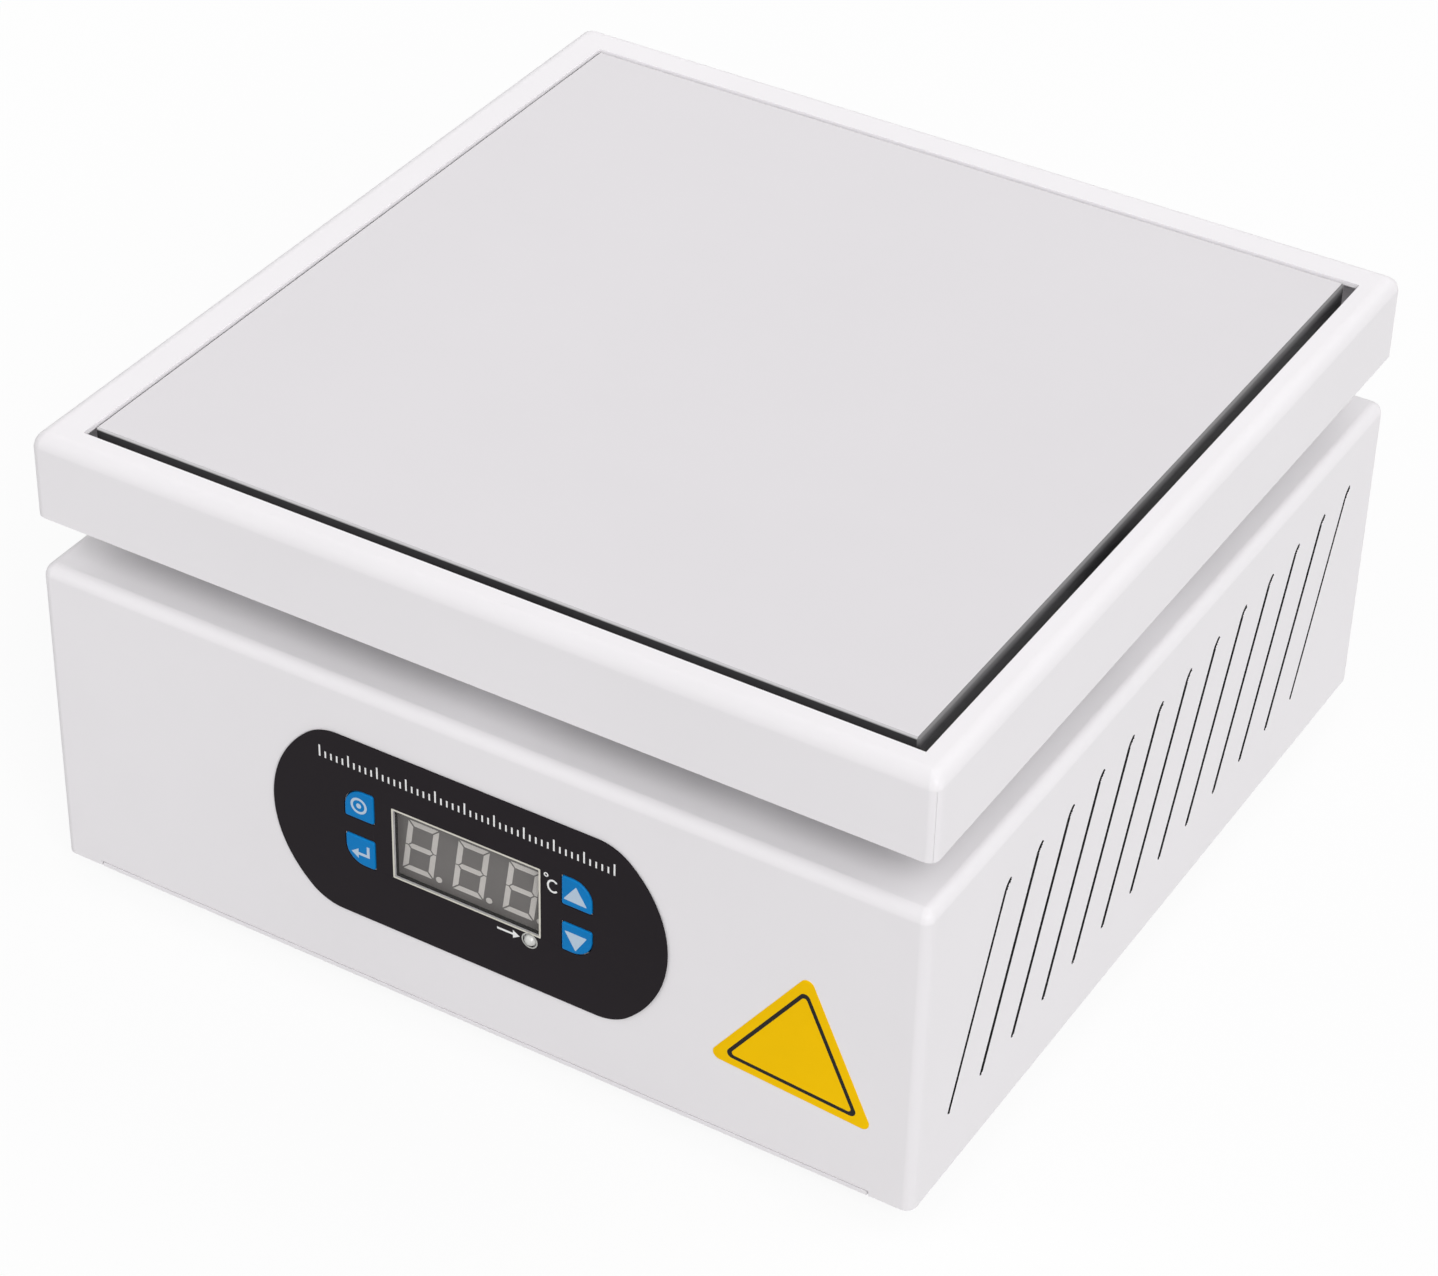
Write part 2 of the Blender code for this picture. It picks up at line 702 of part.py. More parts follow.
def make_housing():
    housing = folded_shell(
        "base_housing",
        HOUSING_WIDTH,
        HOUSING_DEPTH,
        HOUSING_HEIGHT,
        HOUSING_SHEET,
        HOUSING_BEND,
        HOUSING_CORNER,
        HOUSING_LOW,
    )
    deep = 4 * HOUSING_SHEET
    for x_sign, name in ((1, "louvres_right"), (-1, "louvres_left")):
        combine(housing, louvre_cutter(name, x_sign))
    tab_slot = (BOTTOM_TAB_WIDTH + 2 * SEAT, HOUSING_DEPTH + deep, 2 * (BOTTOM_SHEET + SEAT))
    combine(housing, block("tab_slots", tab_slot, (0, 0, HOUSING_LOW)))
    window = rectangle(DISPLAY_HOLE_WIDTH, DISPLAY_HOLE_HEIGHT)
    window_place = (PANEL_X, FRONT, WINDOW_Z)
    combine(housing, outline("display_hole", [window], deep, window_place, FACING_FRONT))
    for name, side, level, x, z in key_places():
        hole = key_outline(side, level, KEY_CLEAR)
        combine(housing, outline(name + "_hole", [hole], deep, (x, FRONT, z), FACING_FRONT))
    lamp = circle(LED_D + 2 * LED_CLEAR)
    lamp_place = (PANEL_X + LED_X, FRONT, WINDOW_Z + LED_Z)
    combine(housing, outline("lamp_hole", [lamp], deep, lamp_place, FACING_FRONT))
    inlet = (INLET_BODY_WIDTH + 2 * SEAT, deep, INLET_BODY_HEIGHT + 2 * SEAT)
    combine(housing, block("inlet_hole", inlet, (INLET_X, REAR, HOUSING_LOW + INLET_Z)))
    switch = (SWITCH_BODY_WIDTH + 2 * SEAT, deep, SWITCH_BODY_HEIGHT + 2 * SEAT)
    combine(housing, block("switch_hole", switch, (SWITCH_X, REAR, HOUSING_LOW + SWITCH_Z)))
    for name, x, y in pillar_places():
        hole = circle(PILLAR_STUD_D + 2 * SEAT, 12)
        combine(housing, outline("stud_hole_" + name, [hole], deep, (x, y, HOUSING_TOP)))
    for side, name in ((-1, "tail_hole_left"), (1, "tail_hole_right")):
        hole = circle(HEATER_D + 2 * TAIL_CLEAR)
        tail = (side * HEATER_END_X, HEATER_END_Y, HOUSING_TOP)
        combine(housing, outline(name, [hole], deep, tail))
    probe = circle(PROBE_D + 2 * SEAT, 12)
    combine(housing, outline("probe_hole", [probe], deep, (PROBE_X, probe_y(), HOUSING_TOP)))
    stud_length = CONTROL_BOARD_FACE - SEAT - FRONT_INSIDE + HOUSING_SHEET / 2
    for side in (-1, 1):
        for level in (-1, 1):
            x = PANEL_X + side * (CONTROL_BOARD_WIDTH / 2 - STUD_INSET)
            z = PANEL_MIDDLE_Z + level * (CONTROL_BOARD_HEIGHT / 2 - STUD_INSET)
            y = CONTROL_BOARD_FACE - SEAT - stud_length / 2
            name = "board_stud_%d_%d" % (side, level)
            stud = outline(name, [circle(STUD_D, 12)], stud_length, (x, y, z), FACING_FRONT)
            combine(housing, stud, "UNION")
    finish(housing, WHITE, 0.42)


def make_bottom():
    inner_width = HOUSING_WIDTH - 2 * HOUSING_SHEET - 2 * SEAT
    inner_depth = HOUSING_DEPTH - 2 * HOUSING_SHEET - 2 * SEAT
    middle_z = HOUSING_LOW + BOTTOM_SHEET / 2
    loops = [rectangle(inner_width, inner_depth, BOTTOM_CORNER)]
    reach = (VENT_LENGTH - VENT_WIDTH) / 2
    vent = [(-reach, 0.0), (reach, 0.0)]
    for side in (-1, 1):
        for i in range(VENT_COUNT):
            y = VENT_PITCH * (i - (VENT_COUNT - 1) / 2)
            loops.append(shifted(slot_outline(vent, VENT_WIDTH), side * VENT_OFFSET, y))
    plate = outline("bottom_plate", loops, BOTTOM_SHEET, (0, 0, middle_z))
    for side, name in ((-1, "tab_front"), (1, "tab_rear")):
        depth = HOUSING_SHEET + SEAT + BOTTOM_CORNER
        y = side * (HOUSING_DEPTH - depth) / 2
        combine(plate, block(name, (BOTTOM_TAB_WIDTH, depth, BOTTOM_SHEET), (0, y, middle_z)), "UNION")
    for side in (-1, 1):
        for level in (-1, 1):
            x = POWER_X + side * (POWER_WIDTH / 2 - BOSS_INSET)
            y = POWER_Y + level * (POWER_DEPTH / 2 - BOSS_INSET)
            height = BOSS_HEIGHT + BOTTOM_SHEET / 2
            name = "boss_%d_%d" % (side, level)
            boss_place = (x, y, BOTTOM_TOP + BOSS_HEIGHT - height / 2)
            boss = outline(name, [circle(BOSS_D, 12)], height, boss_place)
            combine(plate, boss, "UNION")
    finish(plate, WHITE, 0.45)
    for side, name in ((-1, "bottom_rail_left"), (1, "bottom_rail_right")):
        section = [
            (0.0, 0.0),
            (RAIL_LEG, 0.0),
            (RAIL_LEG, RAIL_LEG),
            (RAIL_LEG - RAIL_SHEET, RAIL_LEG),
            (RAIL_LEG - RAIL_SHEET, RAIL_SHEET),
            (0.0, RAIL_SHEET),
        ]
        wall = HOUSING_WIDTH / 2 - HOUSING_SHEET - SEAT
        corner = (side * (wall - RAIL_LEG), 0, BOTTOM_TOP + SEAT)
        turn = FACING_FRONT if side > 0 else FACING_REAR
        finish(outline(name, [section], RAIL_LENGTH, corner, turn), STEEL, 0.4, 0.9)


def make_feet():
    top = FOOT_HEIGHT - SEAT
    profile = [
        (0.0, top),
        (FOOT_TOP_D / 2 - 0.6, top),
        (FOOT_TOP_D / 2, top - 0.6),
        (FOOT_TIP_D / 2, 0.8),
        (FOOT_TIP_D / 2 - 0.8, 0.0),
        (FOOT_RECESS_D / 2, 0.0),
        (FOOT_RECESS_D / 2, FOOT_RECESS),
        (0.0, FOOT_RECESS),
    ]
    for name, x, y in foot_places():
        finish(turned("foot_" + name, profile, (x, y, 0), steps=16), (0.03, 0.03, 0.03), 0.8)


def make_hood():
    hood = folded_shell(
        "hood",
        HOOD_WIDTH,
        HOOD_DEPTH,
        HOOD_HEIGHT,
        HOOD_SHEET,
        HOOD_BEND,
        HOOD_CORNER,
        HOOD_LOW,
    )
    opening = (OPENING_WIDTH, OPENING_DEPTH, 4 * HOOD_SHEET)
    middle = (OPENING_SHIFT, -OPENING_SHIFT, HOOD_TOP)
    combine(hood, block("hood_opening", opening, middle))
    finish(hood, WHITE, 0.42)


def make_brackets():
    """Folded brackets: a leg on the skirt, a run under the shield, a leg and a foot."""
    sheet = BRACKET_SHEET
    top = BRACKET_TOP - (HOUSING_TOP + SEAT)
    reach = BRACKET_REACH
    section = [
        (0.0, top - sheet),
        (0.0, top + BRACKET_RISE),
        (-sheet, top + BRACKET_RISE),
        (-sheet, top),
        (-reach, top),
        (-reach, sheet),
        (-reach - BRACKET_FOOT, sheet),
        (-reach - BRACKET_FOOT, 0.0),
        (-reach + sheet, 0.0),
        (-reach + sheet, top - sheet),
    ]
    half_width = HOOD_WIDTH / 2 - HOOD_SHEET - SEAT
    half_depth = HOOD_DEPTH / 2 - HOOD_SHEET - SEAT
    for name, turn, distance in (
        ("hood_bracket_right", 0, half_width),
        ("hood_bracket_rear", 90, half_depth),
        ("hood_bracket_left", 180, half_width),
        ("hood_bracket_front", 270, half_depth),
    ):
        angle = math.radians(turn)
        corner = (distance * math.cos(angle), distance * math.sin(angle), HOUSING_TOP + SEAT)
        rotation = (math.radians(90), 0.0, angle)
        bracket = outline(name, [section], BRACKET_WIDTH, corner, rotation)
        finish(bracket, STEEL, 0.4, 0.9)


def make_plate():
    middle = (0, 0, (PLATE_TOP + PLATE_LOW) / 2)
    plate = block("heating_plate", (PLATE_WIDTH, PLATE_DEPTH, PLATE_THICKNESS), middle)
    rounded(plate, PLATE_CHAMFER, 1)
    combine(plate, groove_cutter())
    stud = PILLAR_STUD_UP + SEAT
    for name, x, y in pillar_places():
        hole = circle(PILLAR_STUD_D + 2 * SEAT, 12)
        depth = 2 * (stud + SEAT)
        combine(plate, outline("plate_stud_hole_" + name, [hole], depth, (x, y, PLATE_LOW)))
    probe = circle(PROBE_D + 2 * SEAT, 12)
    depth = 2 * (PROBE_DEPTH + SEAT)
    bore_place = (PROBE_X, PLATE_DEPTH / 2, probe_z())
    combine(plate, outline("probe_bore", [probe], depth, bore_place, FACING_REAR))
    finish(plate, (0.72, 0.72, 0.73), 0.38, 0.9)


def make_heater():
    element = tube("heater_element", heater_path(), HEATER_D)
    finish(element, (0.34, 0.33, 0.32), 0.45, 0.9)
    top = -SEAT
    ribs = 3
    rib = BEAD_LENGTH / (2 * ribs)
    profile = [(0.0, top)]
    for i in range(ribs):
        high = top - 2 * rib * i
        profile += [
            (BEAD_D / 2, high),
            (BEAD_D / 2, high - rib),
            (BEAD_D / 2 - 1.0, high - rib),
            (BEAD_D / 2 - 1.0, high - 2 * rib),
        ]
    foot = top - BEAD_LENGTH
    profile += [
        (BEAD_STUD_D / 2, foot),
        (BEAD_STUD_D / 2, foot - BEAD_STUD),
        (0.0, foot - BEAD_STUD),
    ]
    for side, name in ((-1, "heater_bead_left"), (1, "heater_bead_right")):
        tip = (side * HEATER_END_X, HEATER_END_Y, HEATER_END_Z)
        finish(turned(name, profile, tip, steps=10), (0.86, 0.84, 0.78), 0.6)
    for side, name in ((-1, "heater_lead_left"), (1, "heater_lead_right")):
        start = Vector((side * HEATER_END_X, HEATER_END_Y, HEATER_END_Z + foot - BEAD_STUD - SEAT))
        end_x = BLOCK_X + side * BLOCK_PITCH * (BLOCK_WAYS / 2 - 0.5)
        end = Vector((end_x, BLOCK_Y, BOTTOM_TOP + SEAT + BLOCK_HEIGHT + SEAT))
        pull = (start.z - end.z) / 2
        first = start - Vector((0.0, 0.0, pull))
        last = end + Vector((0.0, 0.0, pull))
        route = [bezier(start, first, last, end, i / (LEAD_POINTS - 1)) for i in range(LEAD_POINTS)]
        finish(tube(name, route, LEAD_D, 1), (0.75, 0.74, 0.7), 0.7)


def bezier(start, first, last, end, t):
    u = 1 - t
    return start * u**3 + first * (3 * t * u**2) + last * (3 * t**2 * u) + end * t**3


def tail_hole(side):
    """The opening that lets one heater tail turn down through a sheet."""
    clear = HEATER_D / 2 + TAIL_CLEAR
    low = HEATER_END_Y - HEATER_TAIL_BEND - TAIL_CLEAR
    high = HEATER_END_Y + clear
    return rectangle(2 * clear, high - low, 2.0, (side * HEATER_END_X, (low + high) / 2), 3)


def make_sheets():
    """Clamp plate, insulation board and heat shield, all pierced for pillars and tails."""
    holes = [circle(PILLAR_D + 2 * SEAT, 12, (x, y)) for name, x, y in pillar_places()]
    holes += [tail_hole(-1), tail_hole(1)]
    edge = rectangle(PLATE_WIDTH - 2 * CLAMP_MARGIN, PLATE_DEPTH - 2 * CLAMP_MARGIN, 3.0)
    clamp_z = CLAMP_TOP - CLAMP_SHEET / 2
    clamp = outline("heater_clamp_plate", [edge] + holes, CLAMP_SHEET, (0, 0, clamp_z))
    finish(clamp, STEEL, 0.35, 0.9)
    board_z = BOARD_TOP - BOARD_THICKNESS / 2
    board = outline("insulation_board", [edge] + holes, BOARD_THICKNESS, (0, 0, board_z))
    finish(board, (0.82, 0.8, 0.74), 0.9)
    shield = make_shield()
    for i, hole in enumerate(holes):
        cutter = outline("shield_hole_%d" % i, [hole], 6 * SHIELD_SHEET, (0, 0, SHIELD_LOW))
        combine(shield, cutter)
    finish(shield, STEEL, 0.35, 0.9)


def make_shield():
    """A shallow tray, open above."""
    width = PLATE_WIDTH - 2 * SHIELD_MARGIN
    depth = PLATE_DEPTH - 2 * SHIELD_MARGIN
    height = SHIELD_SHEET + SHIELD_RIM
    mesh = bpy.data.meshes.new("heat_shield")
    bm = bmesh.new()
    bmesh.ops.create_cube(bm, size=1.0)
    bmesh.ops.scale(bm, vec=millimetres((width, depth, height)), verts=bm.verts)
    lid = [face for face in bm.faces if face.normal.z > 0.5]
    bmesh.ops.delete(bm, geom=lid, context="FACES_ONLY")
    bm.to_mesh(mesh)
    bm.free()
    shield = place(bpy.data.objects.new("heat_shield", mesh), (0, 0, SHIELD_LOW + height / 2))
    rounded(shield, SHIELD_SHEET, 2)
    wall = shield.modifiers.new("sheet", "SOLIDIFY")
    wall.thickness = SHIELD_SHEET * MM
    wall.offset = -1.0
    wall.use_even_offset = True
    return shield


def make_pillars():
    low = HOUSING_TOP + SEAT
    high = PLATE_LOW - SEAT
    profile = [
        (0.0, high + PILLAR_STUD_UP),
        (PILLAR_STUD_D / 2, high + PILLAR_STUD_UP),
        (PILLAR_STUD_D / 2, high),
        (PILLAR_D / 2, high),
        (PILLAR_D / 2, low),
        (PILLAR_STUD_D / 2, low),
        (PILLAR_STUD_D / 2, low - PILLAR_STUD_DOWN),
        (0.0, low - PILLAR_STUD_DOWN),
    ]
    for name, x, y in pillar_places():
        pillar = turned("plate_pillar_" + name, profile, (x, y, 0), steps=12)
        finish(pillar, (0.62, 0.62, 0.63), 0.3, 1.0)


def probe_y():
    """Where the thermocouple drops behind the plate."""
    return PLATE_DEPTH / 2 + PROBE_BEND + SEAT


def probe_z():
    return (HEATER_Z + HEATER_D / 2 + GROOVE_CLEAR + PLATE_TOP) / 2


def make_probe():
    bend = arc((0.0, 0.0), PROBE_BEND, math.pi / 2, 0.0, 4)
    bend_low = probe_z() - PROBE_BEND
    route = [(PROBE_X, PLATE_DEPTH / 2 - PROBE_DEPTH, probe_z())]
    route += [(PROBE_X, probe_y() - PROBE_BEND + x, bend_low + y) for x, y in bend]
    route.append((PROBE_X, probe_y(), HOUSING_TOP - HOUSING_SHEET - PROBE_DROP))
    finish(tube("thermocouple", route, PROBE_D), (0.6, 0.6, 0.6), 0.35, 1.0)


def make_overlay():
    middle_y = FRONT - GLUE_FILM - OVERLAY_THICKNESS / 2
    loops = [overlay_outline()]
    loops.append(rectangle(WINDOW_WIDTH, WINDOW_HEIGHT, 0.0, (0.0, WINDOW_RISE)))
    for name, side, level, x, z in key_places():
        hole = key_outline(side, level, KEY_CLEAR)
        loops.append(shifted(hole, x - PANEL_X, z - PANEL_MIDDLE_Z))
    loops.append(circle(LED_D + 2 * LED_CLEAR, 16, (LED_X, WINDOW_RISE + LED_Z)))
    place_mm = (PANEL_X, middle_y, PANEL_MIDDLE_Z)
    overlay = outline("control_overlay", loops, OVERLAY_THICKNESS, place_mm, FACING_FRONT)
    finish(overlay, BLACK, 0.3)
    width = WINDOW_WIDTH - 2 * WINDOW_CLEAR
    height = WINDOW_HEIGHT - 2 * WINDOW_CLEAR
    size = (width, OVERLAY_THICKNESS, height)
    window = block("display_window", size, (PANEL_X, middle_y, WINDOW_Z))
    finish(window, (0.3, 0.29, 0.28), 0.1)


def segment_loops():
    """The seven mitred bars of one digit, then its point."""
    bar = SEGMENT_WIDTH
    gap = SEGMENT_GAP
    side = DIGIT_WIDTH / 2
    top = DIGIT_HEIGHT / 2
    inside = side - bar
    upper_bar = [
        (-side + gap, top),
        (-inside + gap, top - bar),
        (inside - gap, top - bar),
        (side - gap, top),
    ]
    middle_bar = [
        (-side + bar / 2 + gap, 0.0),
        (-inside + gap, -bar / 2),
        (inside - gap, -bar / 2),
        (side - bar / 2 - gap, 0.0),
        (inside - gap, bar / 2),
        (-inside + gap, bar / 2),
    ]
    side_bar = [
        (side, gap / 2),
        (side, top - gap),
        (inside, top - bar - gap),
        (inside, bar / 2 + gap),
        (side - bar / 2, gap / 2),
    ]
    loops = [upper_bar, [(x, -y) for x, y in upper_bar[::-1]], middle_bar]
    for across in (-1, 1):
        for level in (-1, 1):
            mirrored = [(across * x, level * y) for x, y in side_bar]
            loops.append(mirrored if across * level > 0 else mirrored[::-1])
    point_y = -top + POINT_D / 2 - gap
    loops.append(circle(POINT_D, 8, (side + POINT_APART, point_y)))
    return loops


def make_module():
    size = (MODULE_WIDTH, MODULE_DEPTH, MODULE_HEIGHT)
    middle = (PANEL_X, MODULE_FACE + MODULE_DEPTH / 2, WINDOW_Z)
    module = block("display_module", size, middle)
    lean = math.tan(DIGIT_SLANT)
    loops = []
    for digit in range(DIGIT_COUNT):
        x = DIGIT_PITCH * (digit - (DIGIT_COUNT - 1) / 2)
        for loop in segment_loops():
            leaned = [(px + py * lean, py) for px, py in loop]
            loops.append(shifted(leaned, x, 0.0))
    face = (PANEL_X, MODULE_FACE, WINDOW_Z - DIGIT_DROP)
    pockets = outline("segment_pockets", loops, 2 * SEGMENT_POCKET, face, FACING_FRONT)
    combine(module, pockets)
    finish(module, (0.3, 0.3, 0.3), 0.5)


def make_keys():
    """Keys with a flange behind the wall, and the tact switch and plunger behind each."""
    face = OVERLAY_FACE - KEY_PROUD
    flange_front = FRONT_INSIDE + SEAT
    flange_back = flange_front + KEY_FLANGE
    tact_back = CONTROL_BOARD_FACE - SEAT
    tact_front = tact_back - TACT_HEIGHT
    well_depth = PLUNGER_IN_WELL + KEY_TRAVEL + SEAT
    for name, side, level, x, z in key_places():
        cap_depth = flange_front + KEY_FLANGE / 2 - face
        cap_place = (x, face + cap_depth / 2, z)
        key = outline(name, [key_outline(side, level)], cap_depth, cap_place, FACING_FRONT)
        key.location = millimetres((x, face, z))
        key.data.transform(Matrix.Translation((0.0, 0.0, -cap_depth / 2 * MM)))
        lip = key_outline(side, level, KEY_FLANGE_LIP)
        flange_place = (x, flange_front + KEY_FLANGE / 2, z)
        flange = outline(name + "_flange", [lip], KEY_FLANGE, flange_place, FACING_FRONT)
        combine(key, flange, "UNION")
        finish(key, (0.006, 0.22, 0.58), 0.4)

        rod_front = flange_back + SEAT
        rod_back = tact_front + PLUNGER_IN_WELL
        rod_profile = [
            (0.0, 0.0),
            (PLUNGER_D / 2, 0.0),
            (PLUNGER_D / 2, rod_front - rod_back),
            (0.0, rod_front - rod_back),
        ]
        plunger = turned(name + "_plunger", rod_profile, (x, rod_front, z), FACING_FRONT, 12)
        finish(plunger, (0.05, 0.05, 0.05), 0.5)

        middle = (x, (tact_front + tact_back) / 2, z)
        tact = block(name.replace("key", "tact"), (TACT_SIZE, TACT_HEIGHT, TACT_SIZE), middle)
        rounded(tact, 0.4, 1)
        well = circle(PLUNGER_D + 2 * SLIDE, 12)
        well_place = (x, tact_front, z)
        combine(tact, outline(name + "_well", [well], 2 * well_depth, well_place, FACING_FRONT))
        finish(tact, (0.08, 0.08, 0.08), 0.5)


def make_lamp():
    face = OVERLAY_FACE - LED_PROUD
    length = CONTROL_BOARD_FACE - SEAT - face
    radius = LED_D / 2
    dome = [
        (radius * math.sin(math.radians(a)), -radius * (1 - math.cos(math.radians(a))))
        for a in range(0, 91, 18)
    ]
    profile = dome + [(radius, -length), (0.0, -length)]
    place_mm = (PANEL_X + LED_X, face, WINDOW_Z + LED_Z)
    finish(turned("out_led", profile, place_mm, FACING_FRONT, 12), (0.85, 0.85, 0.82), 0.2)


def make_control_board():
    size = (CONTROL_BOARD_WIDTH, BOARD_SHEET, CONTROL_BOARD_HEIGHT)
    middle = (PANEL_X, CONTROL_BOARD_FACE + BOARD_SHEET / 2, PANEL_MIDDLE_Z)
    board = block("control_board", size, middle)
    rounded(board, 0.3, 1)
    finish(board, (0.02, 0.16, 0.06), 0.4)


def make_inlet():
    """Appliance inlet: flange and body in one moulding, with its socket and drawer bay."""
    back = REAR - INLET_BODY_DEPTH
    face = REAR + SEAT + INLET_FLANGE
    z = HOUSING_LOW + INLET_Z
    flange_size = (INLET_FLANGE_WIDTH, INLET_FLANGE, INLET_FLANGE_HEIGHT)
    inlet = block("iec_inlet", flange_size, (INLET_X, face - INLET_FLANGE / 2, z))
    rounded(inlet, 0.8, 2)
    half_width = INLET_BODY_WIDTH / 2
    half_height = INLET_BODY_HEIGHT / 2
    low = (INLET_X - half_width, back, z - half_height)
    high = (INLET_X + half_width, face - INLET_FLANGE / 2, z + half_height)
    combine(inlet, span("inlet_body", low, high), "UNION")

    socket_z = z + SOCKET_RISE
    half_w = SOCKET_WIDTH / 2
    half_h = SOCKET_HEIGHT / 2
    cut = SOCKET_CHAMFER
    mouth = [
        (-half_w, -half_h),
        (half_w, -half_h),
        (half_w, half_h - cut),
        (half_w - cut, half_h),
        (-half_w + cut, half_h),
        (-half_w, half_h - cut),
    ]
    depth = SOCKET_DEPTH + INLET_FLANGE
    socket_place = (INLET_X, face + INLET_FLANGE / 2 - depth / 2, socket_z)
    combine(inlet, outline("socket", [mouth], depth, socket_place, FACING_REAR))

    floor = face + INLET_FLANGE / 2 - depth
    bay_z = z - DRAWER_DROP
    bay = (
        DRAWER_WIDTH + 2 * SLIDE,
        2 * (DRAWER_DEPTH + SLIDE),
        DRAWER_HEIGHT + 2 * SLIDE,
    )
    combine(inlet, block("drawer_bay", bay, (INLET_X, face, bay_z)))
    rebate = (
        DRAWER_FACE_WIDTH + 2 * SLIDE,
        2 * (DRAWER_FACE + SLIDE),
        DRAWER_FACE_HEIGHT + 2 * SLIDE,
    )
    combine(inlet, block("drawer_rebate", rebate, (INLET_X, face, bay_z)))

    tail_end = back - PIN_TAIL
    for name, dx, rise in (
        ("pin_line", -PIN_SPREAD, 0.0),
        ("pin_neutral", PIN_SPREAD, 0.0),
        ("pin_earth", 0.0, PIN_EARTH_RISE),
    ):
        x = INLET_X + dx
        pin_z = socket_z - PIN_EARTH_RISE / 2 + rise
        hole_low = (x - PIN_WIDTH / 2 - SEAT, back - 1.0, pin_z - PIN_HEIGHT / 2 - SEAT)
        hole_high = (x + PIN_WIDTH / 2 + SEAT, floor + 1.0, pin_z + PIN_HEIGHT / 2 + SEAT)
        combine(inlet, span(name + "_hole", hole_low, hole_high))
        low = (x - PIN_WIDTH / 2, tail_end, pin_z - PIN_HEIGHT / 2)
        high = (x + PIN_WIDTH / 2, floor + PIN_LENGTH, pin_z + PIN_HEIGHT / 2)
        finish(rounded(span(name, low, high), 0.4, 1), (0.75, 0.75, 0.76), 0.25, 1.0)
    finish(inlet, BLACK, 0.45)
    make_drawer(face, bay_z)


def make_drawer(inlet_face, z):
    """Fuse drawer with a cradle that is open above, and its fuse."""
    face = inlet_face
    middle_y = face - DRAWER_DEPTH / 2
    size = (DRAWER_WIDTH, DRAWER_DEPTH, DRAWER_HEIGHT)
    drawer = block("fuse_drawer", size, (INLET_X, middle_y, z))
    plate_size = (DRAWER_FACE_WIDTH, DRAWER_FACE, DRAWER_FACE_HEIGHT)
    plate_place = (INLET_X, face - DRAWER_FACE / 2, z)
    combine(drawer, block("drawer_face", plate_size, plate_place), "UNION")
    fuse_y = face - DRAWER_FACE - SEAT - FUSE_D / 2 - 3.0
    cradle_size = (FUSE_LENGTH + 2 * SEAT, FUSE_D + 2 * SEAT, DRAWER_HEIGHT)
    cradle_rise = DRAWER_HEIGHT / 2 - FUSE_D / 2 - SEAT
    combine(drawer, block("fuse_cradle", cradle_size, (INLET_X, fuse_y, z + cradle_rise)))
    grip_size = (DRAWER_FACE_WIDTH / 3, 1.0, 1.6)
    grip_place = (INLET_X, face, z - DRAWER_FACE_HEIGHT / 2)
    combine(drawer, block("drawer_grip", grip_size, grip_place))
    finish(drawer, BLACK, 0.45)
    half = FUSE_LENGTH / 2
    radius = FUSE_D / 2
    profile = [
        (0.0, half),
        (radius, half),
        (radius, half - FUSE_CAP),
        (radius - 0.3, half - FUSE_CAP),
        (radius - 0.3, FUSE_CAP - half),
        (radius, FUSE_CAP - half),
        (radius, -half),
        (0.0, -half),
    ]
    lying = (0.0, math.radians(90), 0.0)
    fuse = turned("fuse", profile, (INLET_X, fuse_y, z + cradle_rise + SEAT / 2), lying, 12)
    finish(fuse, (0.75, 0.76, 0.78), 0.2)


def make_switch():
    """Rocker switch: a flanged frame and a rocker on its own pivot pins."""
    z = HOUSING_LOW + SWITCH_Z
    face = REAR + SEAT + SWITCH_FLANGE
    flange_size = (SWITCH_FLANGE_WIDTH, SWITCH_FLANGE, SWITCH_FLANGE_HEIGHT)
    frame = block("rocker_frame", flange_size, (SWITCH_X, face - SWITCH_FLANGE / 2, z))
    rounded(frame, 0.5, 2)
    half_width = SWITCH_BODY_WIDTH / 2
    half_height = SWITCH_BODY_HEIGHT / 2
    low = (SWITCH_X - half_width, REAR - SWITCH_BODY_DEPTH, z - half_height)
    high = (SWITCH_X + half_width, face - SWITCH_FLANGE / 2, z + half_height)
    combine(frame, span("switch_body", low, high), "UNION")
    swing = math.hypot(ROCKER_LENGTH / 2, ROCKER_BELLY / 2)
    well_depth = face - REAR + 2 * ROCKER_BELLY
    well = (ROCKER_WIDTH + 2 * ROCKER_CLEAR, 2 * well_depth, 2 * (swing + ROCKER_CLEAR))
    combine(frame, block("rocker_well", well, (SWITCH_X, face, z)))
    pin_length = ROCKER_WIDTH + 2 * (ROCKER_CLEAR + ROCKER_PIN_OUT)
    across = (math.radians(90), 0.0, math.radians(90))
    pin_hole = [circle(ROCKER_PIN_D + 2 * SLIDE, 12)]
    hole_length = pin_length + 2 * SLIDE
    combine(frame, outline("pivot_holes", pin_hole, hole_length, (SWITCH_X, REAR, z), across))
    finish(frame, BLACK, 0.45)

    half = ROCKER_LENGTH / 2
    side_view = [(-half, ROCKER_END), (0.0, ROCKER_MIDDLE), (half, ROCKER_END)]
    side_view += [(half, -ROCKER_BELLY / 2), (half / 2, -ROCKER_BELLY)]
    side_view += [(-half / 2, -ROCKER_BELLY), (-half, -ROCKER_BELLY / 2)]
    section = rotated([(y, h) for h, y in side_view][::-1], ROCKER_TILT)
    pivot = (SWITCH_X, REAR, z)
    rocker = outline("rocker", [section], ROCKER_WIDTH, pivot, across)
    pins = outline("pivot_pins", [circle(ROCKER_PIN_D, 12)], pin_length, pivot, across)
    combine(rocker, pins, "UNION")
    finish(rocker, (0.03, 0.03, 0.032), 0.35)


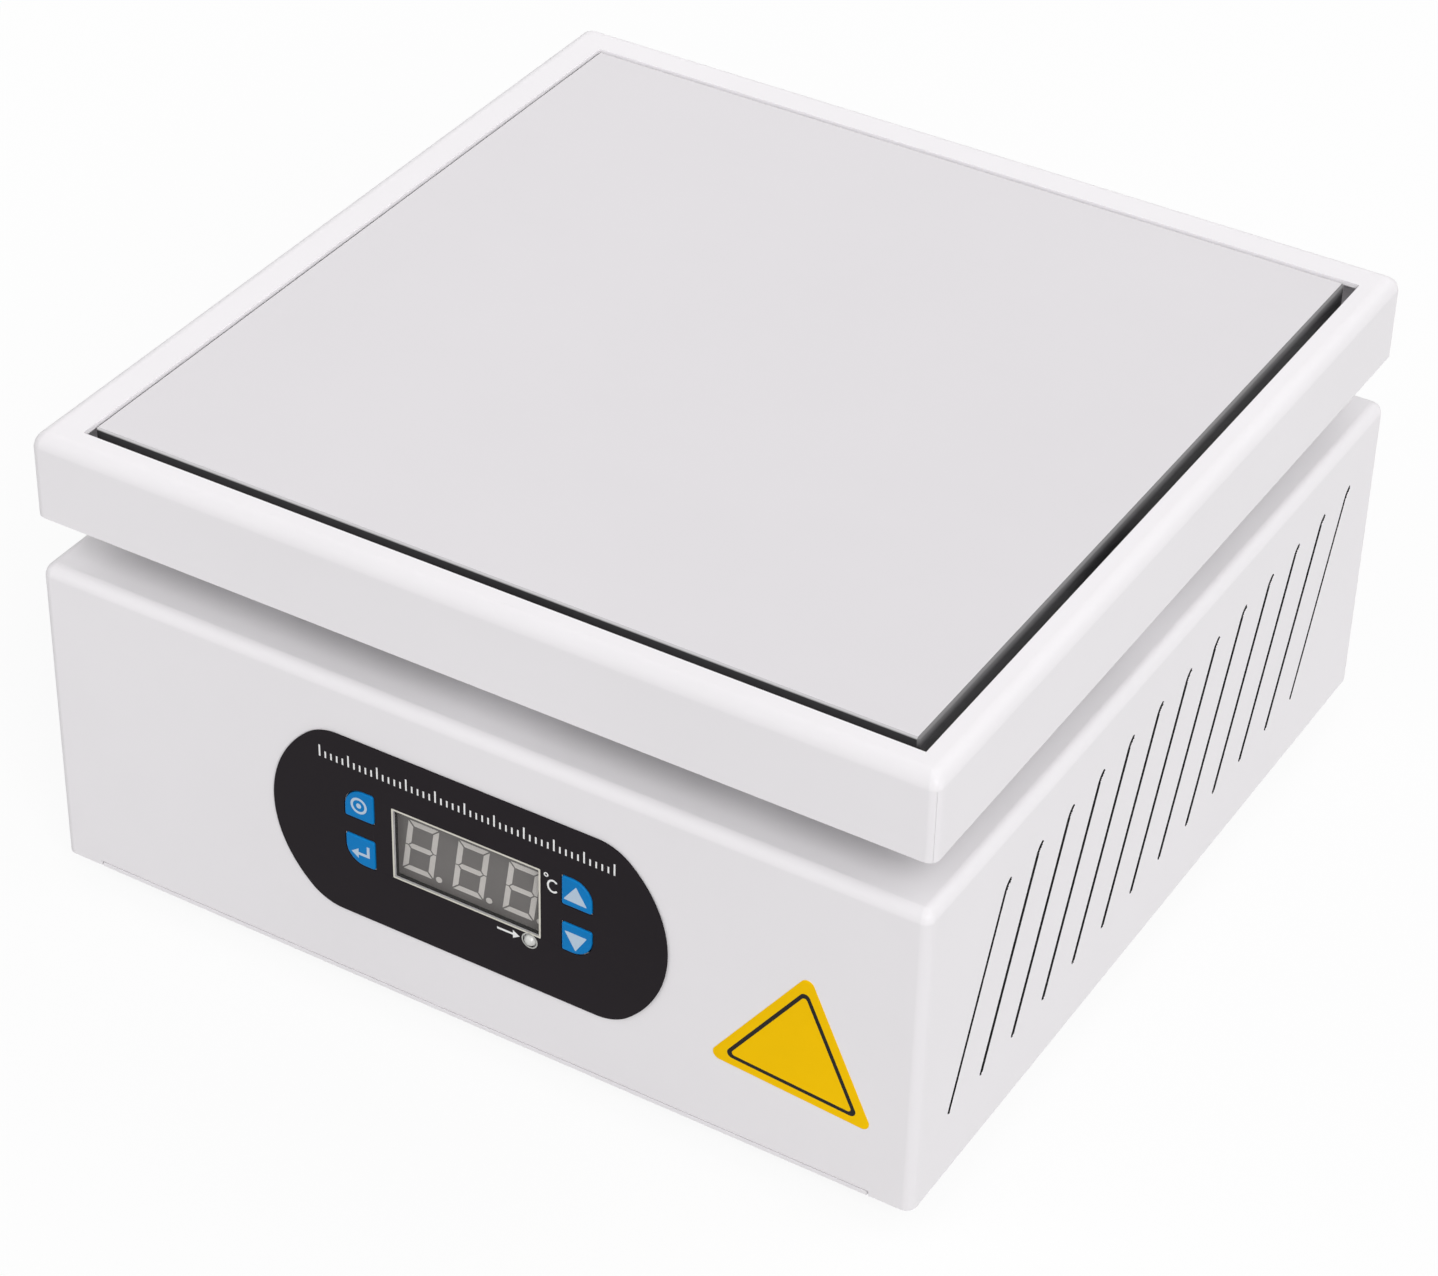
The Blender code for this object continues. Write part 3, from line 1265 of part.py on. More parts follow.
def make_power():
    board_z = POWER_BOARD_TOP - BOARD_SHEET / 2
    board_size = (POWER_WIDTH, POWER_DEPTH, BOARD_SHEET)
    board = block("power_board", board_size, (POWER_X, POWER_Y, board_z))
    rounded(board, 0.3, 1)
    finish(board, (0.02, 0.16, 0.06), 0.4)

    base = POWER_BOARD_TOP + SEAT
    x = POWER_X + TRANSFORMER_X
    core_size = (TRANSFORMER_WIDTH, TRANSFORMER_DEPTH, TRANSFORMER_HEIGHT)
    core = block("transformer", core_size, (x, POWER_Y, base + TRANSFORMER_HEIGHT / 2))
    bobbin_size = (BOBBIN_WIDTH, BOBBIN_DEPTH, BOBBIN_HEIGHT)
    bobbin = block("bobbin", bobbin_size, (x, POWER_Y, base + TRANSFORMER_HEIGHT / 2))
    rounded(bobbin, 3.0, 2)
    combine(core, bobbin, "UNION")
    finish(core, (0.18, 0.18, 0.2), 0.5, 0.6)

    relay_size = (RELAY_WIDTH, RELAY_DEPTH, RELAY_HEIGHT)
    relay_place = (POWER_X + RELAY_X, POWER_Y, base + RELAY_HEIGHT / 2)
    finish(rounded(block("relay", relay_size, relay_place), 0.6, 1), (0.02, 0.08, 0.3), 0.4)

    seat = BOTTOM_TOP + SEAT
    length = BLOCK_PITCH * BLOCK_WAYS
    block_size = (length, BLOCK_DEPTH, BLOCK_HEIGHT)
    terminals = block("terminal_block", block_size, (BLOCK_X, BLOCK_Y, seat + BLOCK_HEIGHT / 2))
    step = BLOCK_HEIGHT / 3
    for sign, name in ((-1, "step_front"), (1, "step_rear")):
        depth = BLOCK_DEPTH / 4
        y = BLOCK_Y + sign * BLOCK_DEPTH / 2
        step_size = (length + 2, 2 * depth, 2 * step)
        combine(terminals, block(name, step_size, (BLOCK_X, y, seat + BLOCK_HEIGHT)))
    loops = []
    for way in range(BLOCK_WAYS):
        x = BLOCK_PITCH * (way - (BLOCK_WAYS - 1) / 2)
        loops.append(circle(BLOCK_ENTRY, 8, (x, 0.0)))
    entries = outline("screw_wells", loops, BLOCK_HEIGHT, (BLOCK_X, BLOCK_Y, seat + BLOCK_HEIGHT))
    combine(terminals, entries)
    finish(terminals, (0.03, 0.03, 0.03), 0.5)

    washer = 1.0
    nut = 4.0
    profile = [
        (0.0, EARTH_HEIGHT),
        (EARTH_D / 2, EARTH_HEIGHT),
        (EARTH_D / 2, nut + washer),
        (EARTH_NUT_D / 2, nut + washer),
        (EARTH_NUT_D / 2, washer),
        (EARTH_NUT_D / 2 + 1.0, washer),
        (EARTH_NUT_D / 2 + 1.0, 0.0),
        (0.0, 0.0),
    ]
    stud = turned("earth_stud", profile, (EARTH_X, EARTH_Y, seat), steps=12)
    finish(stud, (0.72, 0.6, 0.32), 0.35, 1.0)


make_housing()
make_bottom()
make_feet()
make_hood()
make_brackets()
make_plate()
make_heater()
make_sheets()
make_pillars()
make_probe()
make_overlay()
make_module()
make_keys()
make_lamp()
make_control_board()
make_inlet()
make_switch()
make_power()
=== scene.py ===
"""Looks of the pcb preheater: its finished pieces, its studio and its camera.

It is laid out as a Blender add-on and run as a script. Metres, +Z up, front towards -Y, in
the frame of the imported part. Small sizes are written in millimetres, times MM.
"""

import math

import bmesh
import bpy
from mathutils import Matrix, Vector


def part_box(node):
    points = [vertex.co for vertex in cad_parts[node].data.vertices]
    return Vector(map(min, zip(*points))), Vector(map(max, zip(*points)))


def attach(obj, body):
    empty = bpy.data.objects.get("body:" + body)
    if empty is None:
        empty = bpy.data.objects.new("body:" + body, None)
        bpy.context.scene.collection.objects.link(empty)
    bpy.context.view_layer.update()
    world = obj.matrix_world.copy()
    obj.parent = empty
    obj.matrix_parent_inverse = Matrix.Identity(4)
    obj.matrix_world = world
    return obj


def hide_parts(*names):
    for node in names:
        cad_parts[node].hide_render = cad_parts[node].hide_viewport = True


bl_info = {
    "name": "PCB preheater",
    "version": (1, 0, 0),
    "blender": (4, 5, 0),
    "location": "3D View > Sidebar > Preheater",
    "description": "Builds the finished pieces, the studio and the camera of a pcb preheater",
    "category": "Object",
}

MM = 0.001
WELD = 0.001 * MM
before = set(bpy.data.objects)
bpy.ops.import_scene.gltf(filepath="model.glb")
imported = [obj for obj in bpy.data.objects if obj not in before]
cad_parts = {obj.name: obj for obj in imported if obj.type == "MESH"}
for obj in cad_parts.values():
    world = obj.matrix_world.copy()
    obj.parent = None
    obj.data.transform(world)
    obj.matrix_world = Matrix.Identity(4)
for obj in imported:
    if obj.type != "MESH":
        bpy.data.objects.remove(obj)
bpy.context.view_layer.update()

# Turns that lay a flat outline against a wall, with its upper side outwards
UPRIGHT = (0.0, 0.0, 0.0)
FACING_FRONT = (math.radians(90), 0.0, 0.0)
FACING_REAR = (math.radians(90), 0.0, math.radians(180))
FACING_RIGHT = (math.radians(90), 0.0, math.radians(90))
FACING_DOWN = (math.radians(180), 0.0, 0.0)

CORNERS = ("front_left", "front_right", "rear_left", "rear_right")
LAMP_HOLE = 3.3 * MM

# The point that the camera looks at, in millimetres, and the width of the floor in metres
TARGET = (1.12, -7.85, 47.08)
FLOOR_WIDTH = 16.0

# The finishes and the node trees by name, filled by the operator that makes them
finishes = {}
trees = {}

# Keys: name, side and level on the panel, and the body that each moves with
KEYS = (
    ("key_set", -1, 1, "set_button"),
    ("key_enter", -1, -1, "enter_button"),
    ("key_up", 1, 1, "up_button"),
    ("key_down", 1, -1, "down_button"),
)


def length(label, description, millimetres):
    return bpy.props.FloatProperty(
        name=label, description=description, default=millimetres * MM, precision=5,
        subtype="DISTANCE", unit="LENGTH",
    )


def turn_angle(label, description, degrees):
    return bpy.props.FloatProperty(
        name=label, description=description, default=math.radians(degrees),
        subtype="ANGLE", unit="ROTATION",
    )


def tint(label, description, value):
    return bpy.props.FloatVectorProperty(
        name=label, description=description, default=value, size=3, min=0.0, max=1.0, subtype="COLOR"
    )


def number(label, description, value):
    return bpy.props.IntProperty(name=label, description=description, default=value, min=1)


def level(label, description, value):
    return bpy.props.FloatProperty(name=label, description=description, default=value)


class CaseSettings(bpy.types.PropertyGroup):
    """The folded case, its hood and its louvres."""

    paint: tint("Paint", "Colour of the powder coat", (0.775, 0.755, 0.775))
    sheet: length("Sheet", "Thickness of the folded sheet", 1.2)
    bend: length("Bend", "Outer radius of the case's upper folds", 2.9)
    hood_bend: length("Hood bend", "Outer radius of the hood's upper folds", 3.5)
    corner: length("Corner", "Outer radius of the upright corners", 2.4)
    hood_lip: length("Near lip", "Width of the hood's lip at the front and right", 6.6)
    hood_far_lip: length("Far lip", "Width of the hood's lip at the rear and left", 9.7)
    louvre_pitch: length("Louvre pitch", "From one slot to the next", 14.0)
    louvre_width: length("Louvre width", "Width of a slot", 1.3)
    louvre_low: length("Louvre foot", "From the case's lower edge to the slots", 17.3)
    louvre_rise: length("Louvre rise", "Height of a slot", 47.6)
    louvre_lean: turn_angle("Louvre lean", "Lean of the slots from upright", 22.5)
    hook_radius: length("Hook radius", "Radius of the hook at a slot's upper end", 4.0)
    hook_turn: turn_angle("Hook turn", "How far the hook turns", 38.0)
    louvre_shift: length("Louvre shift", "Shift of the row along the wall", -1.0)
    louvre_end: length("Louvre margin", "Wall left free at each end of the row", 14.0)


class StackSettings(bpy.types.PropertyGroup):
    """The heating plate and what is under it."""

    plate: tint("Plate", "Colour of the milled plate", (0.656, 0.636, 0.656))
    # The rim and flank colours are painted shade: the plate's chamfer and sides greyed and darkened as
    # if shaded in the gap.
    rim_shade: tint("Plate rim", "Colour of the plate's chamfer", (0.26, 0.255, 0.26))
    flank_shade: tint("Plate flank", "Colour of the plate's sides below the chamfer", (0.035, 0.034, 0.036))
    zinc: tint("Zinc", "Colour of the zinc-plated sheet", (0.6, 0.6, 0.61))
    sheath: tint("Heater sheath", "Colour of the heater's steel sheath", (0.34, 0.33, 0.32))
    ceramic: tint("Ceramic", "Colour of the beads", (0.86, 0.84, 0.78))
    sleeve: tint("Sleeve", "Colour of the woven glass sleeve", (0.75, 0.74, 0.7))
    board: tint("Insulation", "Colour of the mineral board", (0.82, 0.8, 0.74))
    heater_radius: length("Heater radius", "Radius of the tubular heater", 3.5)
    heater_passes: number("Heater passes", "Straight runs of the heater", 6)
    heater_pitch: length("Heater pitch", "From one run to the next", 30.0)
    heater_run: length("Heater run", "Length of a straight run", 120.0)
    heater_tail: length("Heater tail", "From a run's end to its downward bend", 14.0)
    heater_bend: length("Heater bend", "Radius of the downward bend", 10.0)


class PanelSettings(bpy.types.PropertyGroup):
    """The control panel on the front wall."""

    film: tint("Film", "Colour of the overlay", (0.011, 0.0083, 0.0105))
    print_white: tint("Print", "Colour of the printed scale", (0.78, 0.78, 0.78))
    frame_line: tint("Frame line", "Colour of the line round the display", (0.62, 0.6, 0.53))
    display: tint("Display", "Colour of the display's face", (0.195, 0.183, 0.178))
    segments: tint("Segments", "Colour of the unlit segments", (0.8, 0.765, 0.73))
    key: tint("Keys", "Colour of the keys", (0.002, 0.175, 0.475))
    key_mark: tint("Key marks", "Colour of the marks on the keys", (0.42, 0.53, 0.65))
    lamp: tint("Lamp", "Colour of the unlit lamp", (0.56, 0.56, 0.54))
    sticker: tint("Sticker", "Colour of the sticker", (0.87, 0.52, 0.001))
    end_radius: length("End radius", "Radius of the overlay's bulged ends", 28.0)
    corner_radius: length("Corner radius", "Radius of the overlay's corners", 12.0)
    key_width: length("Key width", "Width of a key", 7.4)
    key_height: length("Key height", "Height of a key", 7.5)
    key_round: length("Key round", "Radius of a key's outer corner", 4.8)
    key_corner: length("Key corner", "Radius of a key's other corners", 0.5)
    key_clear: length("Key clearance", "Gap round a key", 0.25)
    digit_pitch: length("Digit pitch", "From one digit to the next", 12.8)
    digit_width: length("Digit width", "Width of a digit", 7.9)
    digit_height: length("Digit height", "Height of a digit", 14.0)
    digit_drop: length("Digit drop", "From the window's middle down to the digits' middle", 0.5)
    digit_slant: turn_angle("Digit slant", "Lean of the digits", 8.0)
    segment_width: length("Segment width", "Width of a segment", 1.4)
    segment_gap: length("Segment gap", "Gap between segments", 0.25)
    point_size: length("Point size", "Diameter of a decimal point", 1.7)
    point_apart: length("Point offset", "From a digit's side to its point's middle", 1.45)
    tick_pitch: length("Tick pitch", "From one tick of the printed scale to the next", 1.48)
    tick_count: number("Ticks", "Ticks in the printed scale", 51)


class PowerSettings(bpy.types.PropertyGroup):
    """The inlet, the switch and the boards."""

    nylon: tint("Nylon", "Colour of the inlet and the switch frame", (0.026, 0.026, 0.028))
    rocker: tint("Rocker", "Colour of the rocker", (0.03, 0.03, 0.032))
    mark: tint("Marks", "Colour of the rocker's marks", (0.8, 0.8, 0.8))
    contact: tint("Contacts", "Colour of the nickel-plated pins", (0.74, 0.73, 0.7))
    mask: tint("Solder mask", "Colour of the circuit boards", (0.02, 0.16, 0.06))
    relay: tint("Relay", "Colour of the relay's case", (0.02, 0.08, 0.3))
    rubber: tint("Rubber", "Colour of the feet", (0.03, 0.03, 0.03))
    tilt: turn_angle("Rocker tilt", "Tilt of the rocker at rest", 10.0)


class StageSettings(bpy.types.PropertyGroup):
    """The camera, the lamps and the floor."""

    azimuth: turn_angle("Azimuth", "Camera's turn to the right of the front", 30.23)
    elevation: turn_angle("Elevation", "Camera's height over the horizon", 36.37)
    roll: turn_angle("Roll", "Camera's roll", 1.49)
    lens: level("Lens", "Focal length in millimetres", 102.35)
    distance: length("Distance", "From the camera to its target", 934.75)
    key_strength: level("Key strength", "Strength of the lamp at the front right", 2.38)
    left_strength: level("Left strength", "Strength of the lamp at the front left", 0.74)
    rear_strength: level("Rear strength", "Strength of the lamp at the rear right", 0.95)
    back_strength: level("Back strength", "Strength of the lamp at the rear left", 0.45)
    ambient: level("Ambient", "Strength of the light from all round", 0.31)
    floor: tint("Floor", "Colour that the camera sees on the floor", (0.8, 0.8, 0.8))
    bounce: tint("Bounce", "Colour that the floor throws on the object", (0.39, 0.39, 0.39))
    floor_glow: level("Floor glow", "Share of plain white that the camera sees on the floor", 0.9)


# Mesh helpers


def add(name, mesh):
    piece = bpy.data.objects.new(name, mesh)
    bpy.context.scene.collection.objects.link(piece)
    return piece


def baked(piece):
    """Apply a piece's modifiers and its place, so that it is a plain mesh at the origin."""
    bpy.context.view_layer.update()
    graph = bpy.context.evaluated_depsgraph_get()
    mesh = bpy.data.meshes.new_from_object(piece.evaluated_get(graph), depsgraph=graph)
    mesh.transform(piece.matrix_world)
    name = piece.name
    bpy.data.objects.remove(piece, do_unlink=True)
    return add(name, mesh)


def welded(piece):
    """Merge doubles and turn the faces of a closed piece outwards."""
    bm = bmesh.new()
    bm.from_mesh(piece.data)
    bmesh.ops.remove_doubles(bm, verts=bm.verts, dist=WELD)
    bmesh.ops.recalc_face_normals(bm, faces=bm.faces)
    bm.to_mesh(piece.data)
    bm.free()
    return piece


def from_bmesh(name, bm):
    mesh = bpy.data.meshes.new(name)
    bm.to_mesh(mesh)
    bm.free()
    return add(name, mesh)


def joined(name, *parts):
    """Several plain meshes as one."""
    bm = bmesh.new()
    for part in parts:
        bm.from_mesh(part.data)
        bpy.data.objects.remove(part, do_unlink=True)
    return from_bmesh(name, bm)


def cut(piece, *tools, material=None):
    """Take tools that don't touch each other out of a piece; a material dresses the cut."""
    tool = joined(piece.name + "_cutter", *tools)
    if material is not None:
        tool.data.materials.append(material)
    boolean = piece.modifiers.new("cut", "BOOLEAN")
    boolean.operation = "DIFFERENCE"
    boolean.solver = "EXACT"
    boolean.material_mode = "TRANSFER" if material is not None else "INDEX"
    boolean.object = tool
    made = baked(piece)
    bpy.data.objects.remove(tool, do_unlink=True)
    return made


def eased(piece, width, segments=2, angle=40.0, clamp=True):
    """Round a piece's sharp edges a little."""
    bevel = piece.modifiers.new("ease", "BEVEL")
    bevel.width = width
    bevel.segments = segments
    bevel.limit_method = "ANGLE"
    bevel.angle_limit = math.radians(angle)
    bevel.use_clamp_overlap = clamp
    return baked(piece)


def smoothed(piece, angle=35.0):
    """Shade a piece smooth except at its sharp edges, with flats that stay flat."""
    for polygon in piece.data.polygons:
        polygon.use_smooth = True
    piece.data.set_sharp_from_angle(angle=math.radians(angle))
    weighted = piece.modifiers.new("weighted", "WEIGHTED_NORMAL")
    weighted.keep_sharp = True
    weighted.weight = 50
    return baked(piece)


def block(name, low, high):
    """A box between two corners."""
    bm = bmesh.new()
    bmesh.ops.create_cube(bm, size=1.0)
    bmesh.ops.scale(bm, vec=[b - a for a, b in zip(low, high)], verts=bm.verts)
    bmesh.ops.translate(bm, vec=[(a + b) / 2 for a, b in zip(low, high)], verts=bm.verts)
    return from_bmesh(name, bm)


def set_down(piece, place, turn):
    piece.location = place
    piece.rotation_euler = turn
    return piece


def loop_area(loop):
    pairs = zip(loop, loop[1:] + loop[:1])
    return sum(x0 * y1 - x1 * y0 for (x0, y0), (x1, y1) in pairs) / 2


def sheet(name, loops, thickness, place, turn=UPRIGHT, rounding=0.0, steps=2):
    """A flat sheet about its middle: the first loop is its edge, the others are holes.

    A rounding eases all of its edges and leaves its outline as wide as it was drawn.
    """
    curve = bpy.data.curves.new(name, "CURVE")
    curve.dimensions = "2D"
    curve.fill_mode = "BOTH"
    curve.extrude = thickness / 2 - rounding
    curve.bevel_depth = rounding
    curve.bevel_resolution = steps
    curve.offset = -rounding
    for index, loop in enumerate(loops):
        outer = index == 0
        wound = loop if (loop_area(loop) > 0) == outer else loop[::-1]
        spline = curve.splines.new("POLY")
        spline.points.add(len(wound) - 1)
        for point, (x, y) in zip(spline.points, wound):
            point.co = (x, y, 0.0, 1.0)
        spline.use_cyclic_u = True
    piece = set_down(bpy.data.objects.new(name, curve), place, turn)
    bpy.context.scene.collection.objects.link(piece)
    return welded(baked(piece))


def flat(name, loops):
    """Flat faces from outlines, in the plane of a drawing."""
    bm = bmesh.new()
    for loop in loops:
        wound = loop if loop_area(loop) > 0 else loop[::-1]
        bm.faces.new([bm.verts.new((x, y, 0.0)) for x, y in wound])
    return from_bmesh(name, bm)


def turned(name, profile, place, turn=UPRIGHT, steps=48, ease=0.0):
    """A turned piece from (radius, height) points that run down its outer side."""
    mesh = bpy.data.meshes.new(name)
    points = [(radius, 0.0, height) for radius, height in profile]
    mesh.from_pydata(points, [(i, i + 1) for i in range(len(points) - 1)], [])
    piece = set_down(add(name, mesh), place, turn)
    if ease > 0:
        bevel = piece.modifiers.new("ease", "BEVEL")
        bevel.affect = "VERTICES"
        bevel.width = ease
        bevel.segments = 3
    screw = piece.modifiers.new("turn", "SCREW")
    screw.steps = steps
    screw.render_steps = steps
    screw.use_merge_vertices = True
    screw.merge_threshold = WELD
    return smoothed(welded(baked(piece)))


def refined(name, node_name, width, segments, angle):
    """A copy of a solid, with its triangles merged into faces and its sharp edges eased."""
    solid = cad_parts[node_name]
    mesh = solid.data.copy()
    mesh.transform(solid.matrix_world)
    bm = bmesh.new()
    bm.from_mesh(mesh)
    bmesh.ops.remove_doubles(bm, verts=bm.verts, dist=WELD)
    flat_angle = math.radians(0.5)
    bmesh.ops.dissolve_limit(bm, angle_limit=flat_angle, verts=bm.verts, edges=bm.edges)
    bm.to_mesh(mesh)
    bm.free()
    piece = add(name, mesh)
    if width > 0:
        piece = eased(piece, width, segments, angle)
    return smoothed(piece)


def folded_shell(name, low, high, settings, bend, steps=8):
    """A folded box that is open below, with wide bends above and tighter upright corners."""
    shell = block(name, low, high)
    mesh = shell.data
    bm = bmesh.new()
    bm.from_mesh(mesh)
    under = [face for face in bm.faces if face.normal.z < -0.5]
    bmesh.ops.delete(bm, geom=under, context="FACES_ONLY")
    bm.to_mesh(mesh)
    bm.free()
    weights = mesh.attributes.new("bevel_weight_edge", "FLOAT", "EDGE")
    for edge, weight in zip(mesh.edges, weights.data):
        start, end = (mesh.vertices[index].co.z for index in edge.vertices)
        upright = abs(start - end) > MM
        upper = min(start, end) > high[2] - MM
        weight.value = settings.corner / bend if upright else float(upper)
    fold = shell.modifiers.new("fold", "BEVEL")
    fold.width = bend
    fold.segments = steps
    fold.limit_method = "WEIGHT"
    wall = shell.modifiers.new("sheet", "SOLIDIFY")
    wall.thickness = settings.sheet
    wall.offset = -1.0
    wall.use_even_offset = True
    return baked(shell)


def keep(piece, material, body, slot, *nodes):
    """Give a piece its finish and hand it to the frame."""
    if material is not None:
        piece.data.materials.clear()
        piece.data.materials.append(material)
    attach(piece, body)
    if nodes:
        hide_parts(*nodes)


def dress(name, node_name, finish_name, slot, ease, segments=2, angle=40.0, body="case"):
    """Take a solid over as it is, with its edges eased by so many millimetres."""
    piece = refined(name, node_name, ease * MM, segments, angle)
    keep(piece, finishes[finish_name], body, slot, node_name)


# Drawing helpers


def arc(centre, radius, start, end, steps):
    """Points on an arc, both ends included; angles in radians."""
    angles = [start + (end - start) * i / steps for i in range(steps + 1)]
    return [(centre[0] + radius * math.cos(a), centre[1] + radius * math.sin(a)) for a in angles]


def circle(diameter, steps=32, centre=(0.0, 0.0)):
    return arc(centre, diameter / 2, 0.0, 2 * math.pi, steps)[:-1]


def corner_rectangle(width, height, radii, centre=(0.0, 0.0), steps=8):
    """A rectangle whose corners have their own radii, from the lower left, anticlockwise."""
    points = []
    signs = [(-1, -1), (1, -1), (1, 1), (-1, 1)]
    for quarter, ((sx, sy), radius) in enumerate(zip(signs, radii)):
        x = centre[0] + sx * (width / 2 - radius)
        y = centre[1] + sy * (height / 2 - radius)
        start = math.radians(180 + 90 * quarter)
        points += arc((x, y), radius, start, start + math.pi / 2, steps)
    return points


def rectangle(width, height, radius, centre=(0.0, 0.0), steps=6):
    return corner_rectangle(width, height, [radius] * 4, centre, steps)


def shifted(loop, dx, dy):
    return [(x + dx, y + dy) for x, y in loop]


def scaled(loop, factor):
    return [(x * factor, y * factor) for x, y in loop]


def rotated(loop, angle):
    cos = math.cos(angle)
    sin = math.sin(angle)
    return [(x * cos - y * sin, x * sin + y * cos) for x, y in loop]


def rounded_polygon(corners, radius, steps=8):
    """A convex polygon, drawn anticlockwise, with round corners."""
    points = []
    count = len(corners)
    for i in range(count):
        here = Vector(corners[i])
        before = (Vector(corners[i - 1]) - here).normalized()
        after = (Vector(corners[(i + 1) % count]) - here).normalized()
        half = before.angle(after) / 2
        middle = here + (before + after).normalized() * (radius / math.sin(half))
        first = here + before * (radius / math.tan(half)) - middle
        last = here + after * (radius / math.tan(half)) - middle
        start = math.atan2(first.y, first.x)
        sweep = (math.atan2(last.y, last.x) - start) % (2 * math.pi)
        points += arc(middle, radius, start, start + sweep, steps)
    return points


def slot_outline(path, width, steps=8):
    """A slot of one width along a path, with round ends."""
    half = width / 2
    left = []
    right = []
    for i, (x, y) in enumerate(path):
        before = path[max(i - 1, 0)]
        after = path[min(i + 1, len(path) - 1)]
        heading = math.atan2(after[1] - before[1], after[0] - before[0])
        left.append((x - half * math.sin(heading), y + half * math.cos(heading)))
        right.append((x + half * math.sin(heading), y - half * math.cos(heading)))
    first = math.atan2(path[1][1] - path[0][1], path[1][0] - path[0][0])
    last = math.atan2(path[-1][1] - path[-2][1], path[-1][0] - path[-2][0])
    tip = arc(path[-1], half, last - math.pi / 2, last + math.pi / 2, steps)[1:-1]
    tail = arc(path[0], half, first + math.pi / 2, first + 3 * math.pi / 2, steps)[1:-1]
    return right + tip + left[::-1] + tail


# Geometry Nodes trees


def new_tree(name, inputs):
    """A tree that takes and gives geometry, with named inputs of its own."""
    tree = bpy.data.node_groups.new(name, "GeometryNodeTree")
    sockets = tree.interface
    sockets.new_socket("Geometry", in_out="INPUT", socket_type="NodeSocketGeometry")
    for label, kind in inputs:
        sockets.new_socket(label, in_out="INPUT", socket_type="NodeSocket" + kind)
    sockets.new_socket("Geometry", in_out="OUTPUT", socket_type="NodeSocketGeometry")
    start = tree.nodes.new("NodeGroupInput")
    return tree, start.outputs


def node(tree, kind, settings=None, **values):
    """A node with its settings, its plain values and its links, given by socket name."""
    made = tree.nodes.new(kind)
    for key, value in (settings or {}).items():
        setattr(made, key, value)
    for key, value in values.items():
        socket = made.inputs[key.replace("_", " ")]
        if isinstance(value, bpy.types.NodeSocket):
            tree.links.new(value, socket)
        else:
            socket.default_value = value
    return made.outputs


def math_node(tree, operation, first, second):
    made = tree.nodes.new("ShaderNodeMath")
    made.operation = operation
    for socket, value in zip(made.inputs, (first, second)):
        if isinstance(value, bpy.types.NodeSocket):
            tree.links.new(value, socket)
        else:
            socket.default_value = value
    return made.outputs[0]


def end_tree(tree, geometry, material):
    """End a tree in Realize Instances and Set Material."""
    real = node(tree, "GeometryNodeRealizeInstances", Geometry=geometry)
    dressed = node(tree, "GeometryNodeSetMaterial", Geometry=real[0], Material=material)
    end = tree.nodes.new("NodeGroupOutput")
    tree.links.new(dressed[0], end.inputs[0])
    return tree


def line_of_points(tree, count, step):
    return node(tree, "GeometryNodeMeshLine", {"mode": "OFFSET"}, Count=count, Offset=step)["Mesh"]


def row_tree():
    """A row of equal blocks, raised from one flat drawing."""
    inputs = [("Count", "Int"), ("Step", "Vector"), ("Depth", "Float"), ("Material", "Material")]
    tree, given = new_tree("row_of_blocks", inputs)
    drawing = given["Geometry"]
    depth = given["Depth"]
    raised = node(tree, "GeometryNodeExtrudeMesh", Mesh=drawing, Offset_Scale=depth, Individual=False)
    under = node(tree, "GeometryNodeFlipFaces", Mesh=drawing)
    both = tree.nodes.new("GeometryNodeJoinGeometry")
    for part in (raised, under):
        tree.links.new(part["Mesh"], both.inputs[0])
    whole = node(tree, "GeometryNodeMergeByDistance", Geometry=both.outputs[0], Distance=WELD)
    points = line_of_points(tree, given["Count"], given["Step"])
    row = node(tree, "GeometryNodeInstanceOnPoints", Points=points, Instance=whole[0])
    return end_tree(tree, row[0], given["Material"])


def scale_tree():
    """A printed scale: upright ticks on one base line, of which every so many is taller."""
    floats = [(label, "Float") for label in ("Pitch", "Width", "Height", "Tall", "Depth")]
    whole = [("Count", "Int"), ("Every", "Int")]
    tree, given = new_tree("printed_scale", floats + whole + [("Material", "Material")])
    height = given["Height"]
    size = node(tree, "ShaderNodeCombineXYZ", X=given["Width"], Y=height, Z=given["Depth"])
    tick = node(tree, "GeometryNodeMeshCube", Size=size[0])
    rise = node(tree, "ShaderNodeCombineXYZ", Y=math_node(tree, "MULTIPLY", height, 0.5))
    raised = node(tree, "GeometryNodeTransform", Geometry=tick["Mesh"], Translation=rise[0])
    step = node(tree, "ShaderNodeCombineXYZ", X=given["Pitch"])
    points = line_of_points(tree, given["Count"], step[0])
    index = node(tree, "GeometryNodeInputIndex")
    tall = math_node(tree, "LESS_THAN", math_node(tree, "MODULO", index[0], given["Every"]), 0.5)
    gain = math_node(tree, "SUBTRACT", math_node(tree, "DIVIDE", given["Tall"], height), 1.0)
    stretch = math_node(tree, "ADD", math_node(tree, "MULTIPLY", tall, gain), 1.0)
    factor = node(tree, "ShaderNodeCombineXYZ", X=1.0, Y=stretch, Z=1.0)
    ticks = node(
        tree, "GeometryNodeInstanceOnPoints", Points=points, Instance=raised[0], Scale=factor[0]
    )
    return end_tree(tree, ticks[0], given["Material"])


